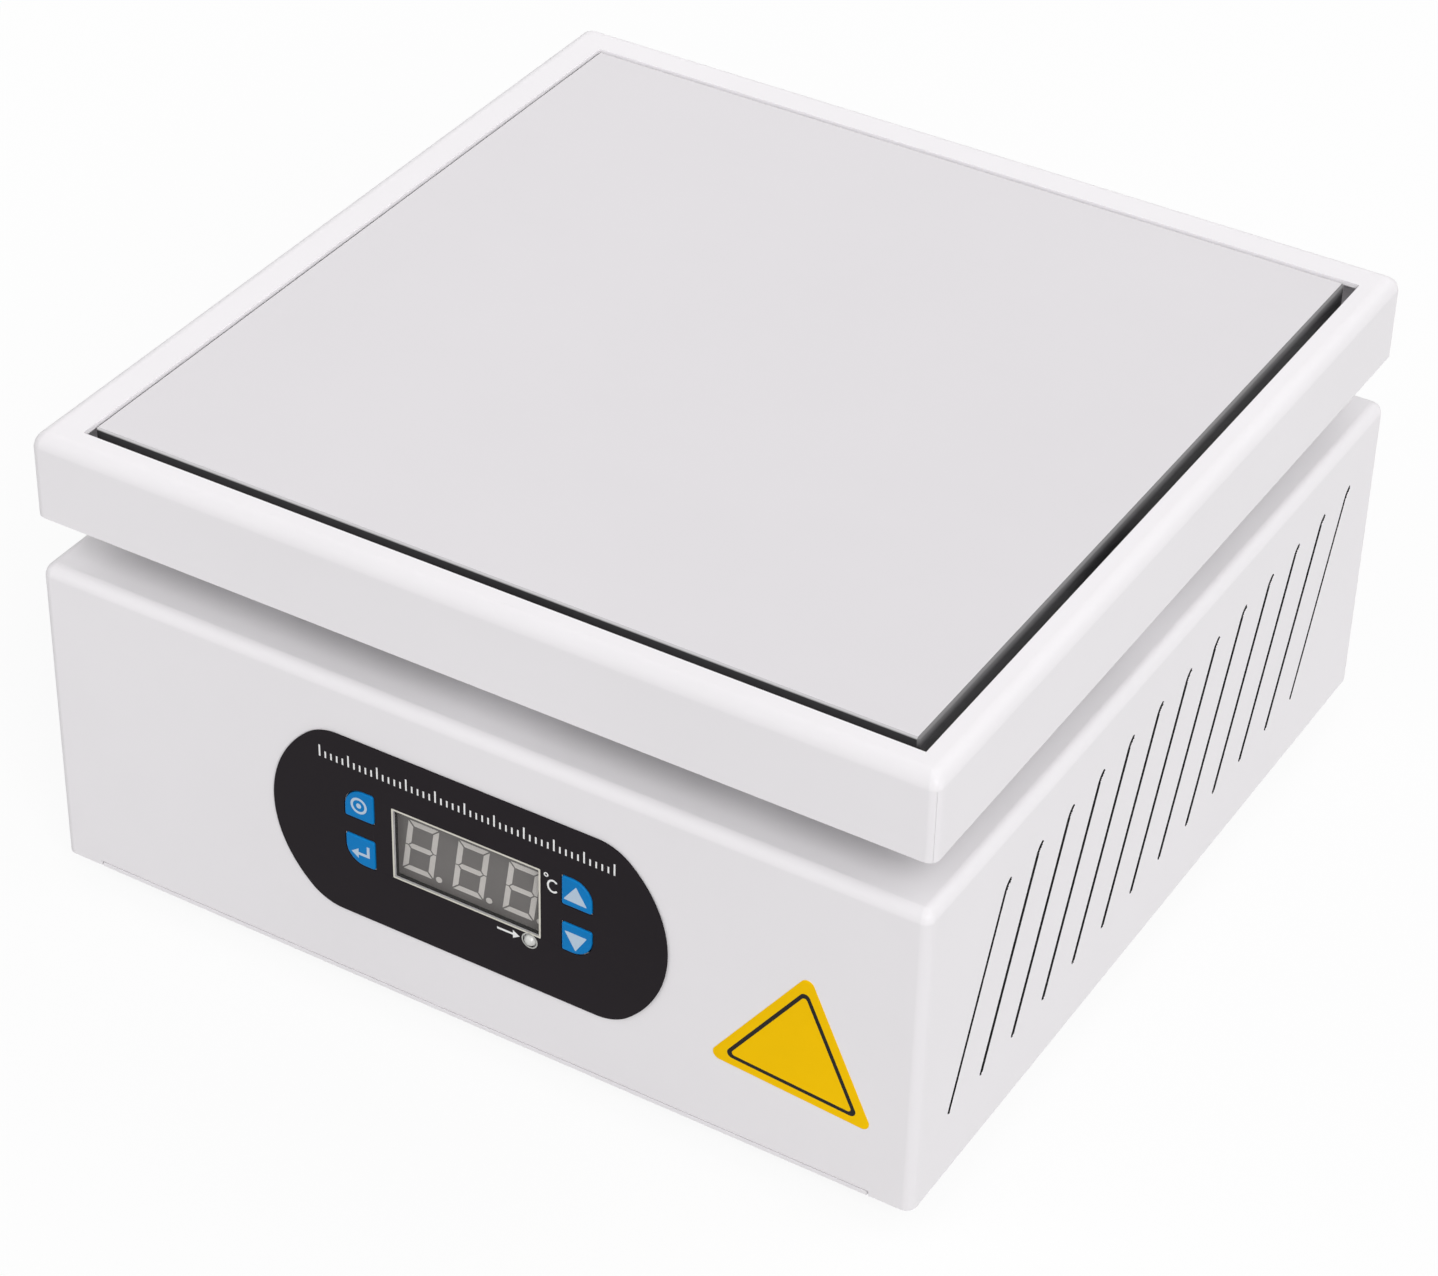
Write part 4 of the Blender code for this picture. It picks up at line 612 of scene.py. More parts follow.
def screw_tree():
    """A screw head on each point, each turned about its own axis by a fixed chance."""
    inputs = [("Head", "Object"), ("Turn", "Vector"), ("Seed", "Int"), ("Material", "Material")]
    tree, given = new_tree("screw_heads", inputs)
    head = node(tree, "GeometryNodeObjectInfo", Object=given["Head"])
    facing = node(tree, "FunctionNodeEulerToRotation", Euler=given["Turn"])
    heads = node(
        tree,
        "GeometryNodeInstanceOnPoints",
        Points=given["Geometry"],
        Instance=head["Geometry"],
        Rotation=facing[0],
    )
    chance = tree.nodes.new("FunctionNodeRandomValue")
    chance.data_type = "FLOAT"
    chance.inputs[2].default_value = 0.0
    chance.inputs[3].default_value = 2 * math.pi
    tree.links.new(given["Seed"], chance.inputs["Seed"])
    spin = node(tree, "ShaderNodeCombineXYZ", Z=chance.outputs[1])
    spun = node(tree, "GeometryNodeRotateInstances", Instances=heads[0], Rotation=spin[0])
    return end_tree(tree, spun[0], given["Material"])


def tube_tree():
    """A round tube along a line of edges, with closed ends."""
    inputs = [("Radius", "Float"), ("Sides", "Int"), ("Material", "Material")]
    tree, given = new_tree("round_tube", inputs)
    path = node(tree, "GeometryNodeMeshToCurve", Mesh=given["Geometry"])
    sides = given["Sides"]
    ring = node(tree, "GeometryNodeCurvePrimitiveCircle", Resolution=sides, Radius=given["Radius"])
    swept = node(
        tree, "GeometryNodeCurveToMesh", Curve=path[0], Profile_Curve=ring["Curve"], Fill_Caps=True
    )
    return end_tree(tree, swept[0], given["Material"])


def grown(piece, tree, values):
    """Run a tree on a piece and keep the result as a plain mesh."""
    modifier = piece.modifiers.new(tree.name, "NODES")
    modifier.node_group = tree
    for item in tree.interface.items_tree:
        if item.item_type == "SOCKET" and item.in_out == "INPUT" and item.name in values:
            modifier[item.identifier] = values[item.name]
    return baked(piece)


def tube(name, points, radius, sides, material):
    mesh = bpy.data.meshes.new(name)
    mesh.from_pydata([tuple(p) for p in points], [(i, i + 1) for i in range(len(points) - 1)], [])
    values = {"Radius": radius, "Sides": sides, "Material": material}
    return smoothed(welded(grown(add(name, mesh), trees["tube"], values)))


def screw_head(radius, height):
    """A pan head with a cross recess, standing on its underside."""
    profile = [(0.0, height)]
    for i in range(1, 7):
        turn = math.pi / 2 * (1 - i / 6)
        profile.append((radius * math.cos(turn), height * (0.35 + 0.65 * math.sin(turn))))
    profile += [(radius, 0.0), (0.0, 0.0)]
    head = turned("screw_head", profile, (0, 0, 0), steps=28)
    for turn in (0.0, math.pi / 2):
        bar = rotated(rectangle(1.25 * radius, 0.3 * radius, 0.1 * radius, steps=2), turn)
        head = cut(head, sheet("cross_bar", [bar], height, (0, 0, height)))
    return smoothed(head)


def screws(name, places, turn, radius, height, seed, slot):
    """Screw heads at the given places, as one piece of the case; their size in millimetres."""
    head = screw_head(radius * MM, height * MM)
    mesh = bpy.data.meshes.new(name)
    mesh.from_pydata([tuple(p) for p in places], [], [])
    values = {"Head": head, "Turn": turn, "Seed": seed, "Material": finishes["screw"]}
    made = grown(add(name, mesh), trees["screw"], values)
    bpy.data.objects.remove(head, do_unlink=True)
    keep(made, None, "case", slot)


# Finishes


def object_place(tree, stretch=(1.0, 1.0, 1.0)):
    """Object coordinates in millimetres, stretched where a grain runs one way."""
    place = node(tree, "ShaderNodeTexCoord")
    return node(tree, "ShaderNodeMapping", Vector=place["Object"], Scale=[s / MM for s in stretch])[0]


def noise(tree, vector, size, detail=2.0, roughness=0.5):
    """Noise whose blobs are about size millimetres across."""
    values = {"Vector": vector, "Scale": 1.0 / size, "Detail": detail, "Roughness": roughness}
    return node(tree, "ShaderNodeTexNoise", **values)[0]


def ramp(tree, factor, stops):
    """A colour ramp from (position, colour) stops."""
    made = tree.nodes.new("ShaderNodeValToRGB")
    elements = made.color_ramp.elements
    while len(elements) < len(stops):
        elements.new(1.0)
    for element, (position, colour) in zip(elements, stops):
        element.position = position
        element.color = (*colour, 1.0)
    tree.links.new(factor, made.inputs[0])
    return made.outputs[0]


def span_map(tree, value, low, high, first, last):
    """A value between low and high, carried over to the span from first to last."""
    spans = {"From_Min": low, "From_Max": high, "To_Min": first, "To_Max": last}
    return node(tree, "ShaderNodeMapRange", Value=value, **spans)[0]


def blend_colours(tree, factor, first, second):
    made = tree.nodes.new("ShaderNodeMix")
    made.data_type = "RGBA"
    for socket, value in ((made.inputs[0], factor), (made.inputs[6], first), (made.inputs[7], second)):
        if isinstance(value, bpy.types.NodeSocket):
            tree.links.new(value, socket)
        elif socket.type == "RGBA":
            socket.default_value = (*value, 1.0)
        else:
            socket.default_value = value
    return made.outputs[2]


def raise_grain(tree, shader, height, depth):
    """Raise a grain, depth in millimetres, on top of any that the finish already has."""
    values = {"Strength": 1.0, "Distance": depth * MM, "Height": height}
    for link in shader.inputs["Normal"].links:
        values["Normal"] = link.from_socket
    tree.links.new(node(tree, "ShaderNodeBump", **values)[0], shader.inputs["Normal"])


def lay_over(tree, shader, share, colour):
    """Lay a share of a colour over a finish's own."""
    own = shader.inputs["Base Color"].links[0].from_socket
    tree.links.new(blend_colours(tree, share, own, colour), shader.inputs["Base Color"])


def shader_of(material):
    return material.node_tree, material.node_tree.nodes["Principled BSDF"]


def shade(colour, factor):
    return tuple(min(1.0, c * factor) for c in colour)


def finish(
    name,
    colour,
    roughness,
    metallic=0.0,
    mottle=0.03,
    blot=35.0,
    spread=0.08,
    grain=0.6,
    depth=0.004,
    stretch=(1.0, 1.0, 1.0),
    stops=None,
):
    """A finish whose colour and gloss wander a little over blots, with a fine raised grain."""
    material = bpy.data.materials.new(name)
    material.use_nodes = True
    tree, shader = shader_of(material)
    shader.inputs["Metallic"].default_value = metallic
    even = object_place(tree)
    drawn = object_place(tree, stretch)
    blots = noise(tree, even, blot, 4.0, 0.6)
    if stops is None:
        stops = [(0.3, shade(colour, 1 - mottle)), (0.7, shade(colour, 1 + mottle))]
    tree.links.new(ramp(tree, blots, stops), shader.inputs["Base Color"])
    fine = noise(tree, drawn, grain, 3.0, 0.6)
    mixed = math_node(tree, "ADD", blots, fine)
    gloss = span_map(tree, mixed, 0.6, 1.4, roughness - spread / 2, roughness + spread / 2)
    tree.links.new(gloss, shader.inputs["Roughness"])
    raise_grain(tree, shader, fine, depth)
    return material


def dull(material, share):
    """Take most of a finish's sheen away."""
    shader_of(material)[1].inputs["Specular IOR Level"].default_value = share
    return material


def powder_coat(name, colour):
    """Satin powder coat with an orange peel, and painted shade on its bends, darkest where they face
    halfway between up and sideways.
    """
    material = finish(name, colour, 0.36, mottle=0.012, blot=60.0, spread=0.07, grain=0.35, depth=0.0012)
    tree, shader = shader_of(dull(material, 0.25))
    raise_grain(tree, shader, noise(tree, object_place(tree), 1.9, 1.0, 0.4), 0.006)
    # Painted shade: the bends are darkened a little, most at half tilt, which dims their highlights.
    facing = node(tree, "ShaderNodeTexCoord")["Normal"]
    upward = node(tree, "ShaderNodeSeparateXYZ", Vector=facing)["Z"]
    square = math_node(tree, "MULTIPLY", upward, upward)
    painted_bend_shade = math_node(tree, "MULTIPLY", square, math_node(tree, "SUBTRACT", 1.0, square))
    lay_over(tree, shader, math_node(tree, "MULTIPLY", painted_bend_shade, 0.27), (0.0, 0.0, 0.0))
    return material


def milled_plate(name, colour, rim_shade, flank_shade, top, side):
    """Fine-milled aluminium, with painted shade on its chamfer and sides: grey front and right rims,
    lighter at the front, and sides below them that go nearly black as shadow in the gap.

    The chamfer is half a millimetre. The painted shade on the right rim darkens more slowly than on the
    front one.
    """
    drawn = (0.02, 1.0, 1.0)
    even = {"mottle": 0.012, "blot": 70.0, "spread": 0.1, "grain": 0.5, "depth": 0.0015}
    material = finish(name, colour, 0.5, metallic=0.05, stretch=drawn, **even)
    tree, shader = shader_of(dull(material, 0.2))
    place = node(tree, "ShaderNodeTexCoord")["Object"]
    split = node(tree, "ShaderNodeSeparateXYZ", Vector=place)
    chamfer = 0.49 * MM
    below = math_node(tree, "SUBTRACT", top, split["Z"])
    on_right = math_node(tree, "GREATER_THAN", split["X"], side - chamfer)
    on_front = math_node(tree, "LESS_THAN", split["Y"], chamfer - side)
    lower = math_node(tree, "GREATER_THAN", below, 0.5 * MM)
    near = math_node(tree, "MAXIMUM", math_node(tree, "MAXIMUM", on_right, on_front), lower)
    painted_shade_share = math_node(tree, "MULTIPLY", span_map(tree, below, 0.005 * MM, 0.04 * MM, 0.0, 1.0), near)
    slower = math_node(tree, "SUBTRACT", 1.0, math_node(tree, "MULTIPLY", on_right, 0.88))
    offset = math_node(tree, "ADD", math_node(tree, "MULTIPLY", on_right, 0.28 * MM), 0.1 * MM)
    depth = math_node(tree, "ADD", math_node(tree, "MULTIPLY", below, slower), offset)
    dark = span_map(tree, depth, 0.45 * MM, 0.7 * MM, 0.0, 1.0)
    # Painted shade: grey rims, lighter at the front than at the right, going dark down the sides as the
    # gap's shadow.
    rim_shades = blend_colours(tree, on_right, shade(rim_shade, 1.9), shade(rim_shade, 0.7))
    lay_over(tree, shader, painted_shade_share, blend_colours(tree, dark, rim_shades, flank_shade))
    metal = math_node(tree, "MULTIPLY", math_node(tree, "SUBTRACT", 1.0, dark), 0.05)
    tree.links.new(metal, shader.inputs["Metallic"])
    return material


def zinc_plate(name, colour):
    """Zinc-plated sheet: a cloudy colour with a drawn grain."""
    stops = [(0.25, shade(colour, 0.86)), (0.5, colour), (0.75, shade(colour, 1.12))]
    cloudy = {"blot": 9.0, "spread": 0.14, "grain": 0.4, "depth": 0.003, "stops": stops}
    return finish(name, colour, 0.38, metallic=0.95, stretch=(1.0, 1.0, 0.08), **cloudy)


def circuit_board(name, colour):
    """Solder mask over copper tracks."""
    material = finish(name, colour, 0.33, mottle=0.06, blot=12.0, grain=0.5, depth=0.001)
    tree, shader = shader_of(material)
    edges = {"feature": "DISTANCE_TO_EDGE"}
    cells = node(tree, "ShaderNodeTexVoronoi", edges, Scale=0.22, Vector=object_place(tree))
    tracks = span_map(tree, cells[0], 0.05, 0.07, 1.0, 0.0)
    lay_over(tree, shader, tracks, shade(colour, 1.9))
    raise_grain(tree, shader, tracks, 0.03)
    return material


def woven_sleeve(name, colour):
    """A woven glass sleeve: a fine check."""
    material = finish(name, colour, 0.75, mottle=0.08, blot=3.0, spread=0.1, grain=0.3, depth=0.01)
    tree, shader = shader_of(material)
    weave = node(tree, "ShaderNodeTexChecker", Scale=2.2, Vector=object_place(tree))
    raise_grain(tree, shader, weave[1], 0.06)
    return material


def laminated_core(name, colour):
    """Varnished steel laminations: thin bands across the core."""
    material = finish(name, colour, 0.45, metallic=0.6, mottle=0.15, blot=8.0, grain=0.5, depth=0.003)
    tree, shader = shader_of(material)
    across = {"bands_direction": "Y"}
    bands = node(tree, "ShaderNodeTexWave", across, Scale=0.7, Vector=object_place(tree))
    raise_grain(tree, shader, bands[1], 0.05)
    return material


def clear_film(name, colour, alpha):
    """A smoked clear film, glossy, that shows what is behind it."""
    material = finish(name, colour, 0.12, mottle=0.05, blot=6.0, spread=0.05, grain=0.3, depth=0.0004)
    shader_of(material)[1].inputs["Alpha"].default_value = alpha
    return material


def moulded(name, colour, roughness, grain=0.25, depth=0.006):
    """Moulded plastic with a spark-eroded texture."""
    return finish(name, colour, roughness, mottle=0.06, blot=14.0, spread=0.12, grain=grain, depth=depth)


def ink(name, colour, roughness=0.5, mottle=0.03):
    """Printed ink: even, with a very fine grain."""
    return finish(name, colour, roughness, mottle=mottle, grain=0.15, depth=0.002)


# Pieces of the case


def middle_of(node_name):
    low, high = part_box(node_name)
    return (low + high) / 2


def louvre_path(settings):
    """The middle line of one slot: it leans, and its upper end hooks to the rear."""
    lean = math.pi / 2 - settings.louvre_lean
    hook_end = lean - settings.hook_turn
    radius = settings.hook_radius
    hook_rise = radius * (math.cos(hook_end) - math.cos(lean))
    straight = (settings.louvre_rise - hook_rise) / math.sin(lean)
    top = (straight * math.cos(lean), straight * math.sin(lean))
    middle = (top[0] + radius * math.sin(lean), top[1] - radius * math.cos(lean))
    hook = arc(middle, radius, lean + math.pi / 2, hook_end + math.pi / 2, 10)
    return [(0.0, 0.0)] + hook


def louvre_cutter(settings, side, low, high):
    """A row of slots through one side wall, spread by the tree that makes rows."""
    path = louvre_path(settings)
    depth = 4 * settings.sheet
    free = high.y - low.y - 2 * settings.louvre_end - path[-1][0]
    more = int(free / settings.louvre_pitch)
    reach = path[-1][0] + settings.louvre_pitch * more
    drawing = flat("louvres", [slot_outline(path, settings.louvre_width)])
    wall = high.x if side > 0 else low.x
    start_y = (low.y + high.y) / 2 + settings.louvre_shift - reach / 2
    set_down(drawing, (wall - depth / 2, start_y, low.z + settings.louvre_low), FACING_RIGHT)
    values = {"Count": more + 1, "Step": (settings.louvre_pitch, 0.0, 0.0), "Depth": depth}
    return grown(drawing, trees["row"], values)


def key_outline(panel, side, up, grow=0.0, steps=10):
    """A key whose outer, far corner is widely rounded."""
    radii = [panel.key_corner + grow] * 4
    corner = {(-1, -1): 0, (1, -1): 1, (1, 1): 2, (-1, 1): 3}[(side, up)]
    radii[corner] = panel.key_round + grow
    width = panel.key_width + 2 * grow
    height = panel.key_height + 2 * grow
    return corner_rectangle(width, height, radii, steps=steps)


def build_case(settings, panel):
    """The lower housing, with its louvres, its panel holes and its cut-outs."""
    low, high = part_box("base_housing")
    shell = folded_shell("case_shell", low, high, settings, settings.bend)
    shell.data.materials.append(finishes["paint"])
    deep = 4 * settings.sheet
    half_tab = high.x - 10.2 * MM
    floor_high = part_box("bottom_plate")[0].z + 1.3 * MM
    notch_low = (-half_tab, low.y - deep, low.z - deep)
    shell = cut(shell, block("notch", notch_low, (half_tab, high.y + deep, floor_high)))
    tools = [louvre_cutter(settings, side, low, high) for side in (-1, 1)]

    def drill(outline, x, y, z, turn=UPRIGHT):
        tools.append(sheet("hole", [outline], deep, (x, y, z), turn))

    window = middle_of("display_window")
    drill(rectangle(36.9 * MM, 18.5 * MM, 0.3 * MM), window.x, low.y, window.z, FACING_FRONT)
    for name, side, up, _ in KEYS:
        key = middle_of(name)
        drill(key_outline(panel, side, up, panel.key_clear), key.x, low.y, key.z, FACING_FRONT)
    lamp = middle_of("out_led")
    drill(circle(LAMP_HOLE, 24), lamp.x, low.y, lamp.z, FACING_FRONT)
    for name, width, height in (("iec_inlet", 27.6, 32.6), ("rocker_frame", 13.2, 19.4)):
        place = middle_of(name)
        drill(rectangle(width * MM, height * MM, 0.5 * MM), place.x, high.y, place.z, FACING_REAR)
    holes = [("plate_pillar_" + name, 4.6) for name in CORNERS]
    holes += [("heater_bead_left", 8.2), ("heater_bead_right", 8.2)]
    for name, diameter in holes:
        place = middle_of(name)
        drill(circle(diameter * MM), place.x, place.y, high.z)
    probe = middle_of("thermocouple")
    drill(circle(3.0 * MM), probe.x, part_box("thermocouple")[1].y - 1.2 * MM, high.z)
    # The walls of the slots and holes get a near-black painted shade.
    shell = cut(shell, *tools, material=finishes["painted_cut_shade"])
    shell = smoothed(eased(shell, 0.08 * MM, 1, 50.0, clamp=False))
    keep(shell, None, "case", "white_paint", "base_housing")


def build_hood(settings):
    """The hood: a shallow folded frame round the plate, with fine seams at its corners."""
    low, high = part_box("hood")
    hood = folded_shell("hood_shell", low, high, settings, settings.hood_bend)
    deep = 4 * settings.sheet
    hole_low = (low.x + settings.hood_far_lip, low.y + settings.hood_lip, high.z - deep)
    hole_high = (high.x - settings.hood_lip, high.y - settings.hood_far_lip, high.z + deep)
    tools = [block("hood_hole", hole_low, hole_high)]
    seam_high = (0.15 * MM, 0.07 * MM, high.z - low.z)
    inset = settings.corner * (1 - math.sqrt(0.5))
    for x_side in (-1, 1):
        for y_side in (-1, 1):
            seam = block("seam", (-seam_high[0], -seam_high[1], 0), seam_high)
            place = (x_side * (high.x - inset), y_side * (high.y - inset), low.z - settings.hood_bend)
            tools.append(baked(set_down(seam, place, (0.0, 0.0, math.atan2(y_side, x_side)))))
    hood = smoothed(eased(cut(hood, *tools), 0.15 * MM, 2, 60.0))
    keep(hood, finishes["paint"], "case", "white_paint", "hood")


def build_base():
    """Bottom plate, rails, feet and their screws."""
    dress("bottom_sheet", "bottom_plate", "paint", "white_paint", 0.12)
    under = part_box("bottom_plate")[0].z
    places = []
    for side in ("left", "right"):
        dress("rail_" + side, "bottom_rail_" + side, "zinc", "zinc_steel", 0.15)
        middle = middle_of("bottom_rail_" + side)
        places += [(middle.x, y * MM, under) for y in (-60, 0, 60)]
    screws("bottom_screws", places, FACING_DOWN, 2.8, 1.8, 3, "zinc_steel")
    places = []
    for name in CORNERS:
        middle = middle_of("foot_" + name)
        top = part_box("foot_" + name)[1].z / MM
        section = [(0.0, top), (7.4, top), (8.0, top - 0.6), (6.5, 0.8), (5.7, 0.0), (3.5, 0.0)]
        section += [(3.5, 2.5), (0.0, 2.5)]
        place = (middle.x, middle.y, 0.0)
        foot = turned("rubber_" + name, scaled(section, MM), place, ease=0.3 * MM)
        keep(foot, finishes["rubber"], "case", "black_rubber", "foot_" + name)
        places.append((middle.x, middle.y, 2.5 * MM))
    screws("foot_screws", places, FACING_DOWN, 2.6, 1.6, 5, "zinc_steel")


# Pieces of the heating stack


def heater_points(settings):
    """The heater's middle line: a serpentine whose two tails turn down."""
    low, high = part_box("heater_element")
    radius = settings.heater_pitch / 2
    run = settings.heater_run / 2
    z = high.z - settings.heater_radius
    first = -settings.heater_pitch * (settings.heater_passes - 1) / 2
    tail = run + settings.heater_tail
    plan = [(first, tail)]
    for i in range(settings.heater_passes - 1):
        middle = first + settings.heater_pitch * (i + 0.5)
        front = i % 2 == 0
        start, end = (math.pi, 2 * math.pi) if front else (math.pi, 0.0)
        plan += arc((middle, -run if front else run), radius, start, end, 20)
    plan.append((-first, tail))
    bend = settings.heater_bend
    drop = arc((tail, z - bend), bend, math.pi / 2, 0.0, 12)[1:] + [(tail + bend, low.z)]
    left = [(first, y, height) for y, height in drop[::-1]]
    right = [(-first, y, height) for y, height in drop]
    return left + [(x, y, z) for x, y in plan] + right


def build_stack(settings):
    """The heating plate, its heater and the sheets, pillars and brackets below it."""
    dress("hot_plate", "heating_plate", "plate", "plate_aluminium", 0.12)
    sheath = finishes["sheath"]
    heater = tube("heater_tube", heater_points(settings), settings.heater_radius, 28, sheath)
    keep(heater, sheath, "case", "heater_steel", "heater_element")
    for side in ("left", "right"):
        dress("bead_" + side, "heater_bead_" + side, "ceramic", "bead_ceramic", 0.25)
        dress("lead_" + side, "heater_lead_" + side, "sleeve", "glass_sleeve", 0.0)
    dress("clamp_sheet", "heater_clamp_plate", "zinc", "zinc_steel", 0.1)
    dress("mineral_sheet", "insulation_board", "mineral", "mineral_board", 0.1)
    dress("shield_tray", "heat_shield", "zinc", "zinc_steel", 0.1)
    dress("probe", "thermocouple", "turned_steel", "pillar_steel", 0.1)
    for name in CORNERS:
        dress("pillar_" + name, "plate_pillar_" + name, "turned_steel", "pillar_steel", 0.25)
    for name in ("front", "right", "rear", "left"):
        dress("bracket_" + name, "hood_bracket_" + name, "zinc", "zinc_steel", 0.3)


# Pieces of the control panel


def overlay_outline(settings, width, height, steps=16):
    """A flat-topped oval: two bulged ends joined to the straight edges by corner arcs."""
    radius = settings.end_radius
    corner = settings.corner_radius
    rise = height / 2 - corner
    between = radius - corner
    end_x = width / 2 - radius
    corner_x = end_x + math.sqrt(between**2 - rise**2)
    turn = math.asin(rise / between)
    quarter = arc((end_x, 0.0), radius, 0.0, turn, steps)
    quarter += arc((corner_x, rise), corner, turn, math.pi / 2, steps)[1:]
    upper = quarter + [(-x, y) for x, y in quarter[::-1]]
    lower = [(x, -y) for x, y in upper[::-1]][1:-1]
    return upper + lower


def print_on(name, loops, face_y, x, z, material, body="case", slot="overlay_film"):
    """A thin printed shape that stands on a face towards the front."""
    thick = 0.03 * MM
    print_piece = sheet(name, loops, thick, (x, face_y - thick / 2, z), FACING_FRONT)
    keep(print_piece, material, body, slot)


def build_overlay(settings):
    """The overlay film with its printed scale, unit and lamp mark."""
    low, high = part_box("control_overlay")
    middle = (low + high) / 2
    window = middle_of("display_window")
    lamp = middle_of("out_led")
    opening = rectangle(37.6 * MM, 18.8 * MM, 0.2 * MM, (window.x - middle.x, window.z - middle.z))
    loops = [overlay_outline(settings, high.x - low.x, high.z - low.z), opening]
    for name, side, up, _ in KEYS:
        key = middle_of(name)
        hole = key_outline(settings, side, up, settings.key_clear)
        loops.append(shifted(hole, key.x - middle.x, key.z - middle.z))
    loops.append(circle(LAMP_HOLE, 32, (lamp.x - middle.x, lamp.z - middle.z)))
    thick = high.y - low.y
    film = sheet("overlay_film", loops, thick, tuple(middle), FACING_FRONT, rounding=0.1 * MM)
    keep(smoothed(film), finishes["film"], "case", "overlay_film", "control_overlay")

    face = low.y
    base_z = middle.z + 16.3 * MM
    start_x = middle.x - settings.tick_pitch * (settings.tick_count - 1) / 2
    ticks = set_down(flat("printed_scale", [circle(MM, 3)]), (start_x, face, base_z), FACING_FRONT)
    values = {
        "Count": settings.tick_count,
        "Pitch": settings.tick_pitch,
        "Width": 0.4 * MM,
        "Height": 1.7 * MM,
        "Tall": 3.0 * MM,
        "Every": 5,
        "Depth": 0.05 * MM,
        "Material": finishes["print"],
    }
    keep(grown(ticks, trees["scale"], values), None, "case", "overlay_film")

    stroke = arc((0.0, 0.0), 1.25 * MM, math.radians(50), math.radians(310), 24)
    letter = slot_outline([(x, y * 1.22) for x, y in stroke], 0.46 * MM)
    ring = [circle(1.15 * MM, 24), circle(0.6 * MM, 24)]
    shaft = [(0.9, 0.26), (-3.1, 0.26)]
    tip = [(0.9, -1.05), (2.6, 0.0), (0.9, 1.05)]
    arrow = scaled([(x, -y) for x, y in shaft[::-1]] + tip + shaft, MM)
    bezel = [circle(4.0 * MM, 40), circle(3.35 * MM, 40)]
    for name, loops, x, z, finish_name in (
        ("degree_ring", ring, 20.9 * MM, 57.65 * MM, "print"),
        ("unit_mark", [letter], 22.6 * MM, 55.15 * MM, "print"),
        ("lamp_mark", [arrow], lamp.x - 5.1 * MM, lamp.z, "print"),
        ("lamp_ring", bezel, lamp.x, lamp.z, "bezel"),
    ):
        print_on(name, loops, face, x, z, finishes[finish_name])


def segment_loops(settings):
    """The seven mitred bars of one digit, then its point, all leaned."""
    bar = settings.segment_width
    gap = settings.segment_gap
    side = settings.digit_width / 2
    top = settings.digit_height / 2
    inside = side - bar
    upper_bar = [
        (-side + gap, top),
        (-inside + gap, top - bar),
        (inside - gap, top - bar),
        (side - gap, top),
    ]
    middle_bar = [
        (-side + bar / 2 + gap, 0.0),
        (-inside + gap, -bar / 2),
        (inside - gap, -bar / 2),
        (side - bar / 2 - gap, 0.0),
        (inside - gap, bar / 2),
        (-inside + gap, bar / 2),
    ]
    side_bar = [
        (side, gap / 2),
        (side, top - gap),
        (inside, top - bar - gap),
        (inside, bar / 2 + gap),
        (side - bar / 2, gap / 2),
    ]
    bars = [upper_bar, [(x, -y) for x, y in upper_bar], middle_bar]
    for across in (-1, 1):
        for row in (-1, 1):
            bars.append([(across * x, row * y) for x, y in side_bar])
    point_y = -top + settings.point_size / 2 - gap
    bars.append(circle(settings.point_size, 20, (side + settings.point_apart, point_y)))
    lean = math.tan(settings.digit_slant)
    return [[(x + y * lean, y) for x, y in bar] for bar in bars]


def build_display(settings):
    """The display's face, its unlit digits, the smoked window and its frame line."""
    low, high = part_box("display_window")
    middle = (low + high) / 2
    dress("display_face", "display_module", "display", "module_plastic", 0.05)
    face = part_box("display_module")[0].y
    digits = flat("digit_segments", segment_loops(settings))
    start = (middle.x - settings.digit_pitch, face + 0.29 * MM, middle.z - settings.digit_drop)
    set_down(digits, start, FACING_FRONT)
    values = {"Count": 3, "Step": (settings.digit_pitch, 0.0, 0.0), "Depth": 0.26 * MM}
    values["Material"] = finishes["segments"]
    keep(grown(digits, trees["row"], values), None, "case", "module_plastic")
    width = high.x - low.x
    height = high.z - low.z
    pane = [rectangle(width, height, 0.2 * MM)]
    thick = high.y - low.y
    window = sheet("window_film", pane, thick, tuple(middle), FACING_FRONT, rounding=0.06 * MM)
    keep(smoothed(window), finishes["window"], "case", "smoked_window", "display_window")
    line = [
        rectangle(width + 0.4 * MM, height + 0.5 * MM, 0.25 * MM),
        rectangle(width - 0.45 * MM, height - 0.35 * MM, 0.15 * MM),
    ]
    print_on("frame_line", line, low.y, middle.x, middle.z, finishes["frame_line"])


def key_mark(name):
    """The generic mark on a key, in millimetres about its middle."""
    if name == "key_set":
        return [circle(4.2, 40), circle(3.0, 32), circle(1.3, 20)]
    if name == "key_enter":
        shaft = [(1.7, 1.9), (2.4, 1.9), (2.4, -1.05), (-0.5, -1.05)]
        return [shaft + [(-0.5, -2.0), (-2.3, -0.7), (-0.5, 0.6), (-0.5, -0.35), (1.7, -0.35)]]
    if name == "key_up":
        return [rounded_polygon([(-3.2, -2.15), (2.6, -2.35), (-0.1, 2.1)], 0.12, 4)]
    return [rounded_polygon([(2.6, 1.7), (-2.95, 1.75), (-0.25, -2.85)], 0.12, 4)]


